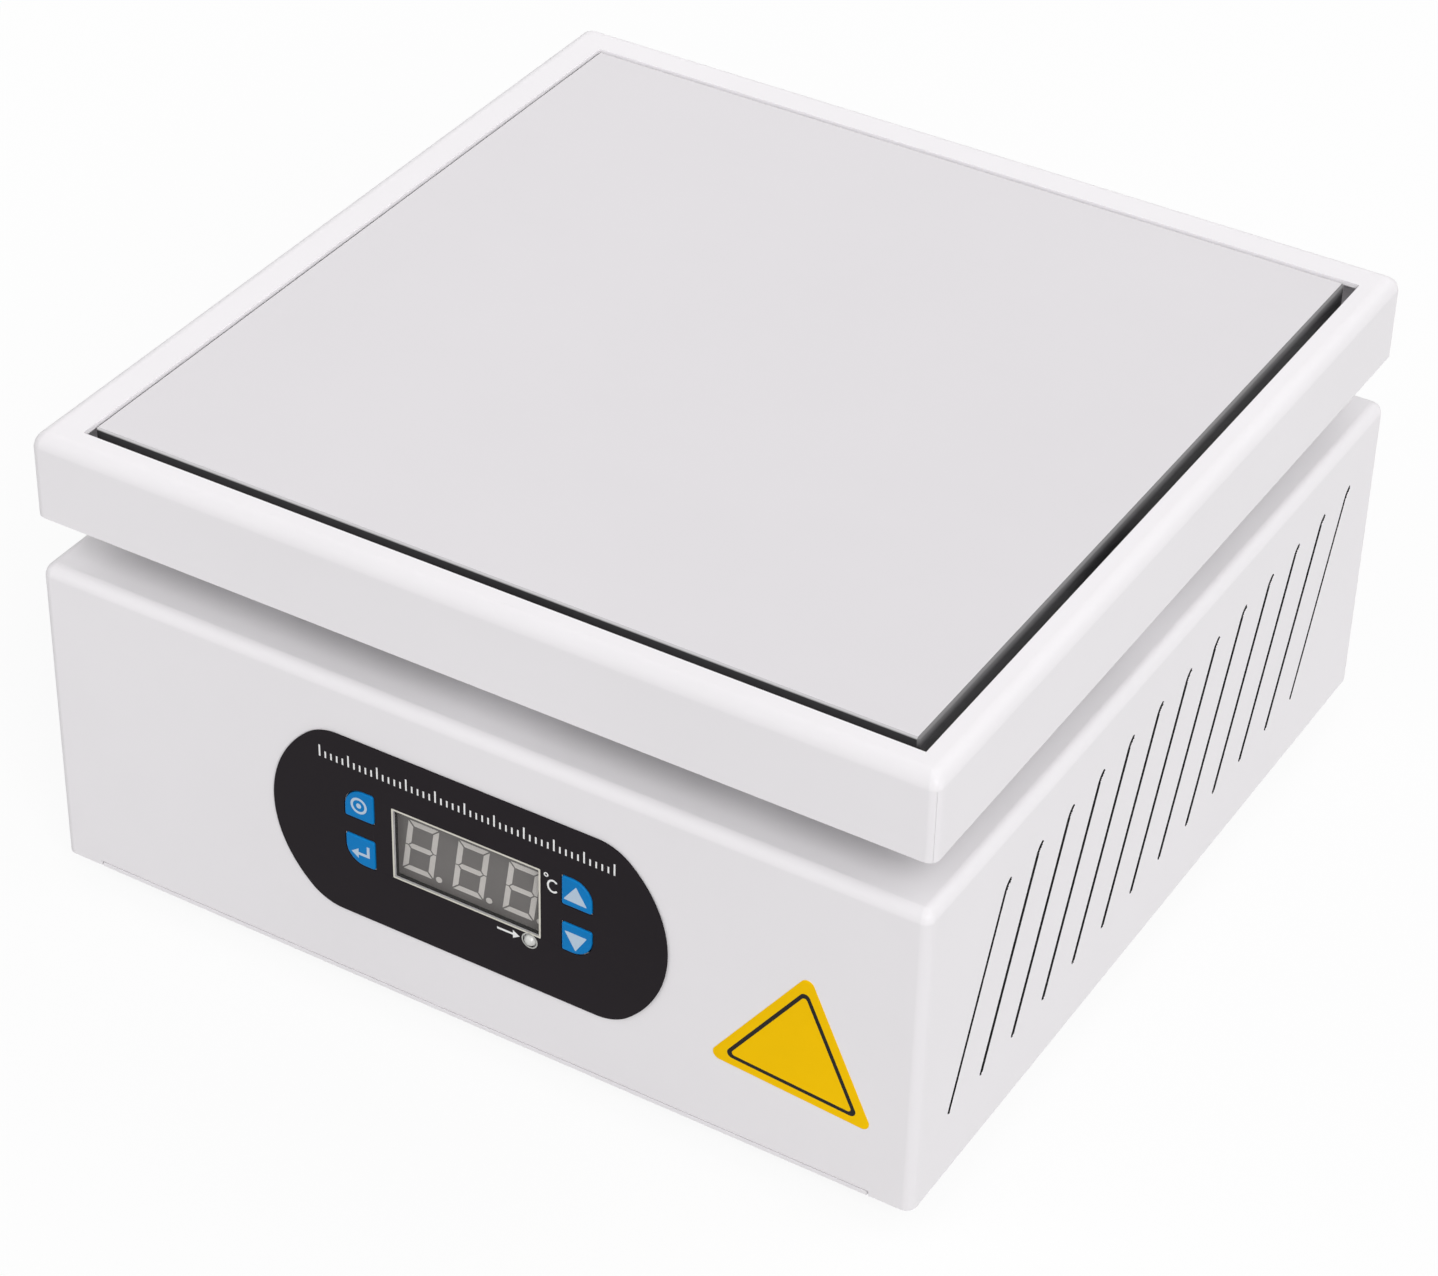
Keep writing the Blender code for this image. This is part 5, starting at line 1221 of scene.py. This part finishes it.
def build_keys(settings):
    """The four keys with their marks, and the plungers that ride with them."""
    for name, side, up, body in KEYS:
        low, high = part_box(name)
        middle = (low + high) / 2
        deep = high.y - low.y
        place = (middle.x, low.y + deep / 2, middle.z)
        outline = [key_outline(settings, side, up)]
        cap = sheet(name + "_cap", outline, deep, place, FACING_FRONT, rounding=0.3 * MM, steps=3)
        lip = [key_outline(settings, side, up, 0.8 * MM)]
        place = (middle.x, high.y - 0.5 * MM, middle.z)
        flange = sheet(name + "_flange", lip, MM, place, FACING_FRONT)
        key = smoothed(joined(name + "_cap", cap, flange))
        keep(key, finishes["key"], body, "key_plastic", name)
        mark = [scaled(loop, MM) for loop in key_mark(name)]
        dressing = (finishes["key_mark"], body, "key_plastic")
        print_on(name + "_mark", mark, low.y, middle.x, middle.z, *dressing)
        dress(name + "_rod", name + "_plunger", "black", "black_plastic", 0.15, body=body)


def build_lamp():
    """The unlit output lamp."""
    low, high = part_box("out_led")
    middle = (low + high) / 2
    radius = 1.5 * MM
    depth = high.y - low.y
    angles = [math.radians(a) for a in range(0, 91, 6)]
    profile = [(radius * math.sin(a), -radius * (1 - math.cos(a))) for a in angles]
    profile += [(radius, -depth), (0.0, -depth)]
    lamp = turned("lamp_dome", profile, (middle.x, low.y, middle.z), FACING_FRONT, steps=40)
    keep(lamp, finishes["lamp"], "case", "lamp_epoxy", "out_led")


def build_sticker():
    """A blank triangular sticker, whose tip leans to the right, with a line inside its edge."""
    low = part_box("base_housing")[0]
    x = 81.15 * MM
    z = low.z + 30.75 * MM
    reach = 23.1 * MM
    first = math.radians(90 - 4.3)
    corners = arc((0.0, 0.0), reach, first, first + 2 * math.pi, 3)[:3]
    corners[0] = (corners[0][0] + 0.9 * MM, corners[0][1] - 0.7 * MM)
    film = rounded_polygon(corners, 1.7 * MM, 12)
    thick = 0.12 * MM
    place = (x, low.y - thick / 2, z)
    sticker = sheet("sticker_film", [film], thick, place, FACING_FRONT, rounding=0.03 * MM, steps=1)
    keep(smoothed(sticker), finishes["sticker"], "case", "overlay_film")
    outer = rounded_polygon(scaled(corners, 18.9 * MM / reach), 1.3 * MM, 8)
    inner = rounded_polygon(scaled(corners, 17.05 * MM / reach), 0.7 * MM, 8)
    print_on("sticker_line", [outer, inner], low.y - thick, x, z - 0.1 * MM, finishes["ink"])


# Pieces of the power side


def build_inlet():
    """The appliance inlet, its pins, its fuse drawer and the fuse."""
    dress("inlet_body", "iec_inlet", "nylon", "inlet_plastic", 0.35, 3)
    for name in ("line", "neutral", "earth"):
        dress("contact_" + name, "pin_" + name, "contact", "plated_brass", 0.2, 2, 25.0)
    carrier = "fuse_carrier"
    dress("drawer_body", "fuse_drawer", "nylon", "inlet_plastic", 0.3, 3, body=carrier)
    low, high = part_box("fuse")
    middle = tuple((low + high) / 2)
    half = (high.x - low.x) / 2
    radius = (high.y - low.y) / 2
    lying = (0.0, math.radians(90), 0.0)
    caps = []
    for sign in (-1, 1):
        inner = sign * (half - 4.0 * MM)
        profile = [(0.0, sign * half), (radius, sign * half), (radius, inner), (0.0, inner)]
        caps.append(turned("cap", profile[::sign], middle, lying, 32, 0.25 * MM))
    caps = smoothed(joined("fuse_caps", *caps))
    keep(caps, finishes["contact"], carrier, "fuse_glass", "fuse")
    reach = half - 3.9 * MM
    within = radius - 0.3 * MM
    profile = [(0.0, reach), (within, reach), (within, -reach), (0.0, -reach)]
    glass = turned("fuse_glass", profile, middle, lying, 32)
    keep(glass, finishes["glass"], carrier, "fuse_glass")


def build_switch(settings):
    """The rocker switch: its frame and its rocker, with a bar and a ring for on and off."""
    dress("switch_frame", "rocker_frame", "nylon", "inlet_plastic", 0.3, 3)
    low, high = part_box("rocker")
    middle = middle_of("rocker_frame")
    pivot = Vector((middle.x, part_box("base_housing")[1].y, middle.z))
    half = 8.0
    dish = [(-half + half * i / 8, 1.6 + (i / 8 - 1) ** 2) for i in range(17)]
    under = [(half, -2.25), (half / 2, -4.5), (-half / 2, -4.5), (-half, -2.25)]
    section = scaled([(height, along) for along, height in dish + under][::-1], MM)
    section = [rotated(section, settings.tilt)]
    body = sheet("rocker_key", section, 9.8 * MM, pivot, FACING_RIGHT, rounding=0.35 * MM)
    pins = sheet("rocker_pins", [circle(2.6 * MM, 24)], high.x - low.x, pivot, FACING_RIGHT)
    rocker = smoothed(joined("rocker_key", body, pins), 30.0)
    keep(rocker, finishes["rocker"], "power_rocker", "rocker_plastic", "rocker")
    outward = Matrix.Rotation(math.pi, 4, "Z") @ Matrix.Rotation(math.radians(90), 4, "X")
    for name, loops, along in (
        ("on_bar", [rectangle(0.55 * MM, 2.6 * MM, 0.1 * MM, steps=2)], 4.6),
        ("off_ring", [circle(2.6 * MM, 32), circle(1.7 * MM, 32)], -4.6),
    ):
        height = 1.63 + (along / half) ** 2
        slope = math.atan(2 * along / half**2)
        y, z = rotated([(height * MM, along * MM)], settings.tilt)[0]
        mark = sheet(name, loops, 0.08 * MM, (0, 0, 0))
        turn = Matrix.Rotation(settings.tilt - slope, 4, "X") @ outward
        mark.data.transform(Matrix.Translation(pivot + Vector((0.0, y, z))) @ turn)
        keep(mark, finishes["mark"], "power_rocker", "rocker_plastic")


def build_boards():
    """The boards and the parts on them, inside the case."""
    dress("front_board", "control_board", "board", "board_green", 0.15)
    dress("mains_board", "power_board", "board", "board_green", 0.15)
    dress("transformer_core", "transformer", "core", "transformer_core", 0.4)
    dress("relay_case", "relay", "relay", "relay_plastic", 0.4)
    dress("terminal_strip", "terminal_block", "black", "black_plastic", 0.25)
    dress("earth_post", "earth_stud", "brass", "plain_brass", 0.25)
    for name in ("set", "enter", "up", "down"):
        dress("tact_body_" + name, "tact_" + name, "black", "black_plastic", 0.15)
    low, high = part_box("terminal_block")
    middle = (low + high) / 2
    well = low.z + 8.3 * MM
    places = [(middle.x + (way - 2.5) * 10.0 * MM, middle.y, well) for way in range(6)]
    screws("terminal_screws", places, UPRIGHT, 2.1, 1.4, 7, "plain_brass")


# The studio


def camera_matrix(settings, target):
    """The camera's place and turn, from its azimuth, elevation, roll and distance."""
    az, el, roll = settings.azimuth, settings.elevation, settings.roll
    back = Vector((math.sin(az) * math.cos(el), -math.cos(az) * math.cos(el), math.sin(el)))
    right = (-back).cross(Vector((0.0, 0.0, 1.0))).normalized()
    up = right.cross(-back)
    x_axis = right * math.cos(roll) + up * math.sin(roll)
    y_axis = up * math.cos(roll) - right * math.sin(roll)
    matrix = Matrix((x_axis, y_axis, back)).transposed().to_4x4()
    matrix.translation = target + back * settings.distance
    return matrix


def seen_rays(tree):
    """1 for the rays of the camera, of mirrors and of clear pieces, 0 for the others."""
    rays = node(tree, "ShaderNodeLightPath")
    first = math_node(tree, "MAXIMUM", rays["Is Camera Ray"], rays["Is Glossy Ray"])
    return math_node(tree, "MAXIMUM", first, rays["Is Transmission Ray"])


def shader_mix(tree, share, first, second, kind):
    """End a tree in two shaders, mixed by a share of the second."""
    mix = tree.nodes.new("ShaderNodeMixShader")
    for socket, source in zip(mix.inputs, (share, first, second)):
        tree.links.new(source, socket)
    tree.links.new(mix.outputs[0], tree.nodes.new(kind).inputs[0])


def build_stage(settings):
    """The camera, the lamps, the white surroundings and the floor."""
    scene = bpy.context.scene
    data = bpy.data.cameras.new("camera")
    data.lens = settings.lens
    data.sensor_width = 36.0
    data.sensor_fit = "HORIZONTAL"
    data.clip_start = 0.01
    data.clip_end = 50.0
    camera = bpy.data.objects.new("camera", data)
    camera.matrix_world = camera_matrix(settings, Vector(TARGET) * MM)
    scene.collection.objects.link(camera)
    scene.camera = camera
    scene.view_settings.view_transform = "Standard"

    # Lamps: name, strength, and in degrees their width, turn from the front and height
    for name, strength, spread, turn, height in (
        ("key_lamp", settings.key_strength, 38, 45, 34),
        ("left_lamp", settings.left_strength, 50, -45, 36),
        ("rear_lamp", settings.rear_strength, 50, 135, 40),
        ("back_lamp", settings.back_strength, 60, 215, 20),
    ):
        light = bpy.data.lights.new(name, "SUN")
        light.energy = strength
        light.angle = math.radians(spread)
        lamp = bpy.data.objects.new(name, light)
        lamp.rotation_euler = (math.radians(90 - height), 0.0, math.radians(turn))
        scene.collection.objects.link(lamp)

    white = (1.0, 1.0, 1.0, 1.0)
    world = bpy.data.worlds.new("surroundings")
    world.use_nodes = True
    scene.world = world
    tree = world.node_tree
    tree.nodes.clear()
    soft = node(tree, "ShaderNodeBackground", Color=white, Strength=settings.ambient)
    plain = node(tree, "ShaderNodeBackground", Color=white, Strength=1.0)
    shader_mix(tree, seen_rays(tree), soft[0], plain[0], "ShaderNodeOutputWorld")

    floor = flat("floor", [rectangle(FLOOR_WIDTH, FLOOR_WIDTH, 0.01, steps=1)])
    floor = baked(set_down(floor, (0.0, 0.0, -0.1 * MM), UPRIGHT))
    material = bpy.data.materials.new("pale_floor")
    material.use_nodes = True
    tree = material.node_tree
    tree.nodes.clear()
    blots = noise(tree, object_place(tree), 400.0)
    stops = [(0.3, shade(settings.floor, 0.99)), (0.7, shade(settings.floor, 1.01))]
    tone = blend_colours(tree, seen_rays(tree), settings.bounce, ramp(tree, blots, stops))
    matt = node(tree, "ShaderNodeBsdfDiffuse", Color=tone)
    glow = node(tree, "ShaderNodeEmission", Color=white, Strength=1.0)
    share = math_node(tree, "MULTIPLY", seen_rays(tree), settings.floor_glow)
    shader_mix(tree, share, matt[0], glow[0], "ShaderNodeOutputMaterial")
    floor.data.materials.append(material)


def make_finishes(scene):
    """All the finishes, by name."""
    stack = scene.preheater_stack
    panel = scene.preheater_panel
    power = scene.preheater_power
    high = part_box("heating_plate")[1]
    steel = shade(stack.zinc, 1.05)
    sheath = tuple(stack.sheath)
    bronze = (sheath[0] * 1.1, sheath[1] * 0.95, sheath[2] * 0.8)
    tints = [(0.3, shade(sheath, 0.7)), (0.5, sheath), (0.7, bronze)]
    vinyl = finish("sticker_vinyl", panel.sticker, 0.45, grain=0.4, depth=0.002)
    film = finish("overlay_film", panel.film, 0.5, mottle=0.08, grain=0.2, depth=0.003)
    return {
        "paint": powder_coat("satin_powder_coat", scene.preheater_case.paint),
        # The plate's finish carries painted shade on its rims and sides.
        "plate": milled_plate("milled_aluminium", stack.plate, stack.rim_shade, stack.flank_shade, high.z, high.x),
        "zinc": zinc_plate("zinc_plated_sheet", stack.zinc),
        "screw": zinc_plate("zinc_plated_screw", steel),
        "turned_steel": finish("turned_steel", steel, 0.28, 1.0, grain=0.3, stretch=(1.0, 1.0, 8.0)),
        "sheath": finish("heat_tinted_sheath", sheath, 0.42, 0.9, blot=14.0, spread=0.16, stops=tints),
        "ceramic": finish("unglazed_ceramic", stack.ceramic, 0.62, grain=0.4, depth=0.02),
        "sleeve": woven_sleeve("woven_glass_sleeve", stack.sleeve),
        "mineral": finish("pressed_mineral", stack.board, 0.9, mottle=0.1, blot=3.0, depth=0.05),
        "film": dull(film, 0.08),
        # Painted shade for the walls of the case's slots and holes.
        "painted_cut_shade": dull(finish("shaded_cut_edge", (0.02, 0.02, 0.021), 0.8, mottle=0.2), 0.1),
        "bezel": ink("bezel_ink", (0.42, 0.42, 0.4)),
        "print": ink("printed_ink", panel.print_white),
        "ink": dull(ink("dark_ink", (0.014, 0.013, 0.012), mottle=0.1), 0.1),
        "frame_line": ink("frame_ink", panel.frame_line),
        "display": moulded("display_plastic", panel.display, 0.5),
        "segments": moulded("segment_plastic", panel.segments, 0.45),
        "window": clear_film("smoked_film", (0.06, 0.057, 0.052), 0.12),
        "key": dull(moulded("key_plastic", panel.key, 0.45, 0.3, 0.003), 0.1),
        "key_mark": ink("key_ink", panel.key_mark, 0.45),
        "black": moulded("black_plastic", (0.04, 0.04, 0.04), 0.45),
        "lamp": finish("diffused_epoxy", panel.lamp, 0.18, blot=2.0, depth=0.001),
        "sticker": dull(vinyl, 0.04),
        "nylon": moulded("glass_filled_nylon", power.nylon, 0.48, 0.3, 0.01),
        "rocker": moulded("rocker_plastic", power.rocker, 0.32, 0.25, 0.003),
        "mark": ink("white_mark", power.mark),
        "contact": finish("nickel_plate", power.contact, 0.25, 1.0, grain=0.2, depth=0.001),
        "board": circuit_board("solder_mask", power.mask),
        "relay": moulded("relay_case", power.relay, 0.4),
        "core": laminated_core("varnished_laminations", (0.16, 0.16, 0.18)),
        "brass": finish("bright_brass", (0.72, 0.56, 0.28), 0.3, 1.0, grain=0.3, depth=0.002),
        "rubber": finish("moulded_rubber", power.rubber, 0.75, mottle=0.15, grain=0.25, depth=0.015),
        "glass": clear_film("fuse_tube", (0.7, 0.72, 0.72), 0.35),
    }


class PREHEATER_OT_studio(bpy.types.Operator):
    """Make the camera, the lamps and the floor"""

    bl_idname = "preheater.studio"
    bl_label = "Studio"

    def execute(self, context):
        build_stage(context.scene.preheater_stage)
        return {"FINISHED"}


class PREHEATER_OT_finishes(bpy.types.Operator):
    """Make the finishes and the node trees that the pieces share"""

    bl_idname = "preheater.finishes"
    bl_label = "Finishes"

    def execute(self, context):
        finishes.update(make_finishes(context.scene))
        trees.update(row=row_tree(), scale=scale_tree(), screw=screw_tree(), tube=tube_tree())
        return {"FINISHED"}


class PREHEATER_OT_case(bpy.types.Operator):
    """Make the louvred lower case"""

    bl_idname = "preheater.case"
    bl_label = "Case"

    def execute(self, context):
        scene = context.scene
        build_case(scene.preheater_case, scene.preheater_panel)
        return {"FINISHED"}


class PREHEATER_OT_hood(bpy.types.Operator):
    """Make the hood round the plate"""

    bl_idname = "preheater.hood"
    bl_label = "Hood"

    def execute(self, context):
        build_hood(context.scene.preheater_case)
        return {"FINISHED"}


class PREHEATER_OT_base(bpy.types.Operator):
    """Make the bottom plate, its rails, the feet and their screws"""

    bl_idname = "preheater.base"
    bl_label = "Bottom plate and feet"

    def execute(self, context):
        build_base()
        return {"FINISHED"}


class PREHEATER_OT_stack(bpy.types.Operator):
    """Make the heating plate, the heater and what carries them"""

    bl_idname = "preheater.stack"
    bl_label = "Heating stack"

    def execute(self, context):
        build_stack(context.scene.preheater_stack)
        return {"FINISHED"}


class PREHEATER_OT_overlay(bpy.types.Operator):
    """Make the overlay film and its print"""

    bl_idname = "preheater.overlay"
    bl_label = "Overlay"

    def execute(self, context):
        build_overlay(context.scene.preheater_panel)
        return {"FINISHED"}


class PREHEATER_OT_display(bpy.types.Operator):
    """Make the display, its digits and its window"""

    bl_idname = "preheater.display"
    bl_label = "Display"

    def execute(self, context):
        build_display(context.scene.preheater_panel)
        return {"FINISHED"}


class PREHEATER_OT_keys(bpy.types.Operator):
    """Make the keys with their marks, and the lamp"""

    bl_idname = "preheater.keys"
    bl_label = "Keys and lamp"

    def execute(self, context):
        build_keys(context.scene.preheater_panel)
        build_lamp()
        return {"FINISHED"}


class PREHEATER_OT_sticker(bpy.types.Operator):
    """Make the blank sticker on the front wall"""

    bl_idname = "preheater.sticker"
    bl_label = "Sticker"

    def execute(self, context):
        build_sticker()
        return {"FINISHED"}


class PREHEATER_OT_inlet(bpy.types.Operator):
    """Make the appliance inlet with its fuse drawer"""

    bl_idname = "preheater.inlet"
    bl_label = "Inlet"

    def execute(self, context):
        build_inlet()
        return {"FINISHED"}


class PREHEATER_OT_rocker_switch(bpy.types.Operator):
    """Make the rocker switch"""

    bl_idname = "preheater.rocker_switch"
    bl_label = "Rocker switch"

    def execute(self, context):
        build_switch(context.scene.preheater_power)
        return {"FINISHED"}


class PREHEATER_OT_boards(bpy.types.Operator):
    """Make the circuit boards and the parts inside the case"""

    bl_idname = "preheater.boards"
    bl_label = "Boards"

    def execute(self, context):
        build_boards()
        return {"FINISHED"}


OPERATORS = (
    PREHEATER_OT_studio,
    PREHEATER_OT_finishes,
    PREHEATER_OT_case,
    PREHEATER_OT_hood,
    PREHEATER_OT_base,
    PREHEATER_OT_stack,
    PREHEATER_OT_overlay,
    PREHEATER_OT_display,
    PREHEATER_OT_keys,
    PREHEATER_OT_sticker,
    PREHEATER_OT_inlet,
    PREHEATER_OT_rocker_switch,
    PREHEATER_OT_boards,
)

SETTINGS = {
    "preheater_case": CaseSettings,
    "preheater_stack": StackSettings,
    "preheater_panel": PanelSettings,
    "preheater_power": PowerSettings,
    "preheater_stage": StageSettings,
}


class PREHEATER_PT_panel(bpy.types.Panel):
    """Lists the preheater's pieces and their settings"""

    bl_label = "PCB preheater"
    bl_idname = "PREHEATER_PT_panel"
    bl_space_type = "VIEW_3D"
    bl_region_type = "UI"
    bl_category = "Preheater"

    def draw(self, context):
        column = self.layout.column(align=True)
        for operator in OPERATORS:
            column.operator(operator.bl_idname)
        for name, group in SETTINGS.items():
            box = self.layout.box()
            settings = getattr(context.scene, name)
            for label in group.__annotations__:
                box.prop(settings, label)


def register():
    for group in SETTINGS.values():
        bpy.utils.register_class(group)
    for name, group in SETTINGS.items():
        setattr(bpy.types.Scene, name, bpy.props.PointerProperty(type=group))
    for operator in OPERATORS:
        bpy.utils.register_class(operator)
    bpy.utils.register_class(PREHEATER_PT_panel)


def unregister():
    bpy.utils.unregister_class(PREHEATER_PT_panel)
    for operator in reversed(OPERATORS):
        bpy.utils.unregister_class(operator)
    for name in SETTINGS:
        delattr(bpy.types.Scene, name)
    for group in SETTINGS.values():
        bpy.utils.unregister_class(group)


def main():
    register()
    for operator in OPERATORS:
        family, name = operator.bl_idname.split(".")
        getattr(getattr(bpy.ops, family), name)()


if __name__ == "__main__":
    main()
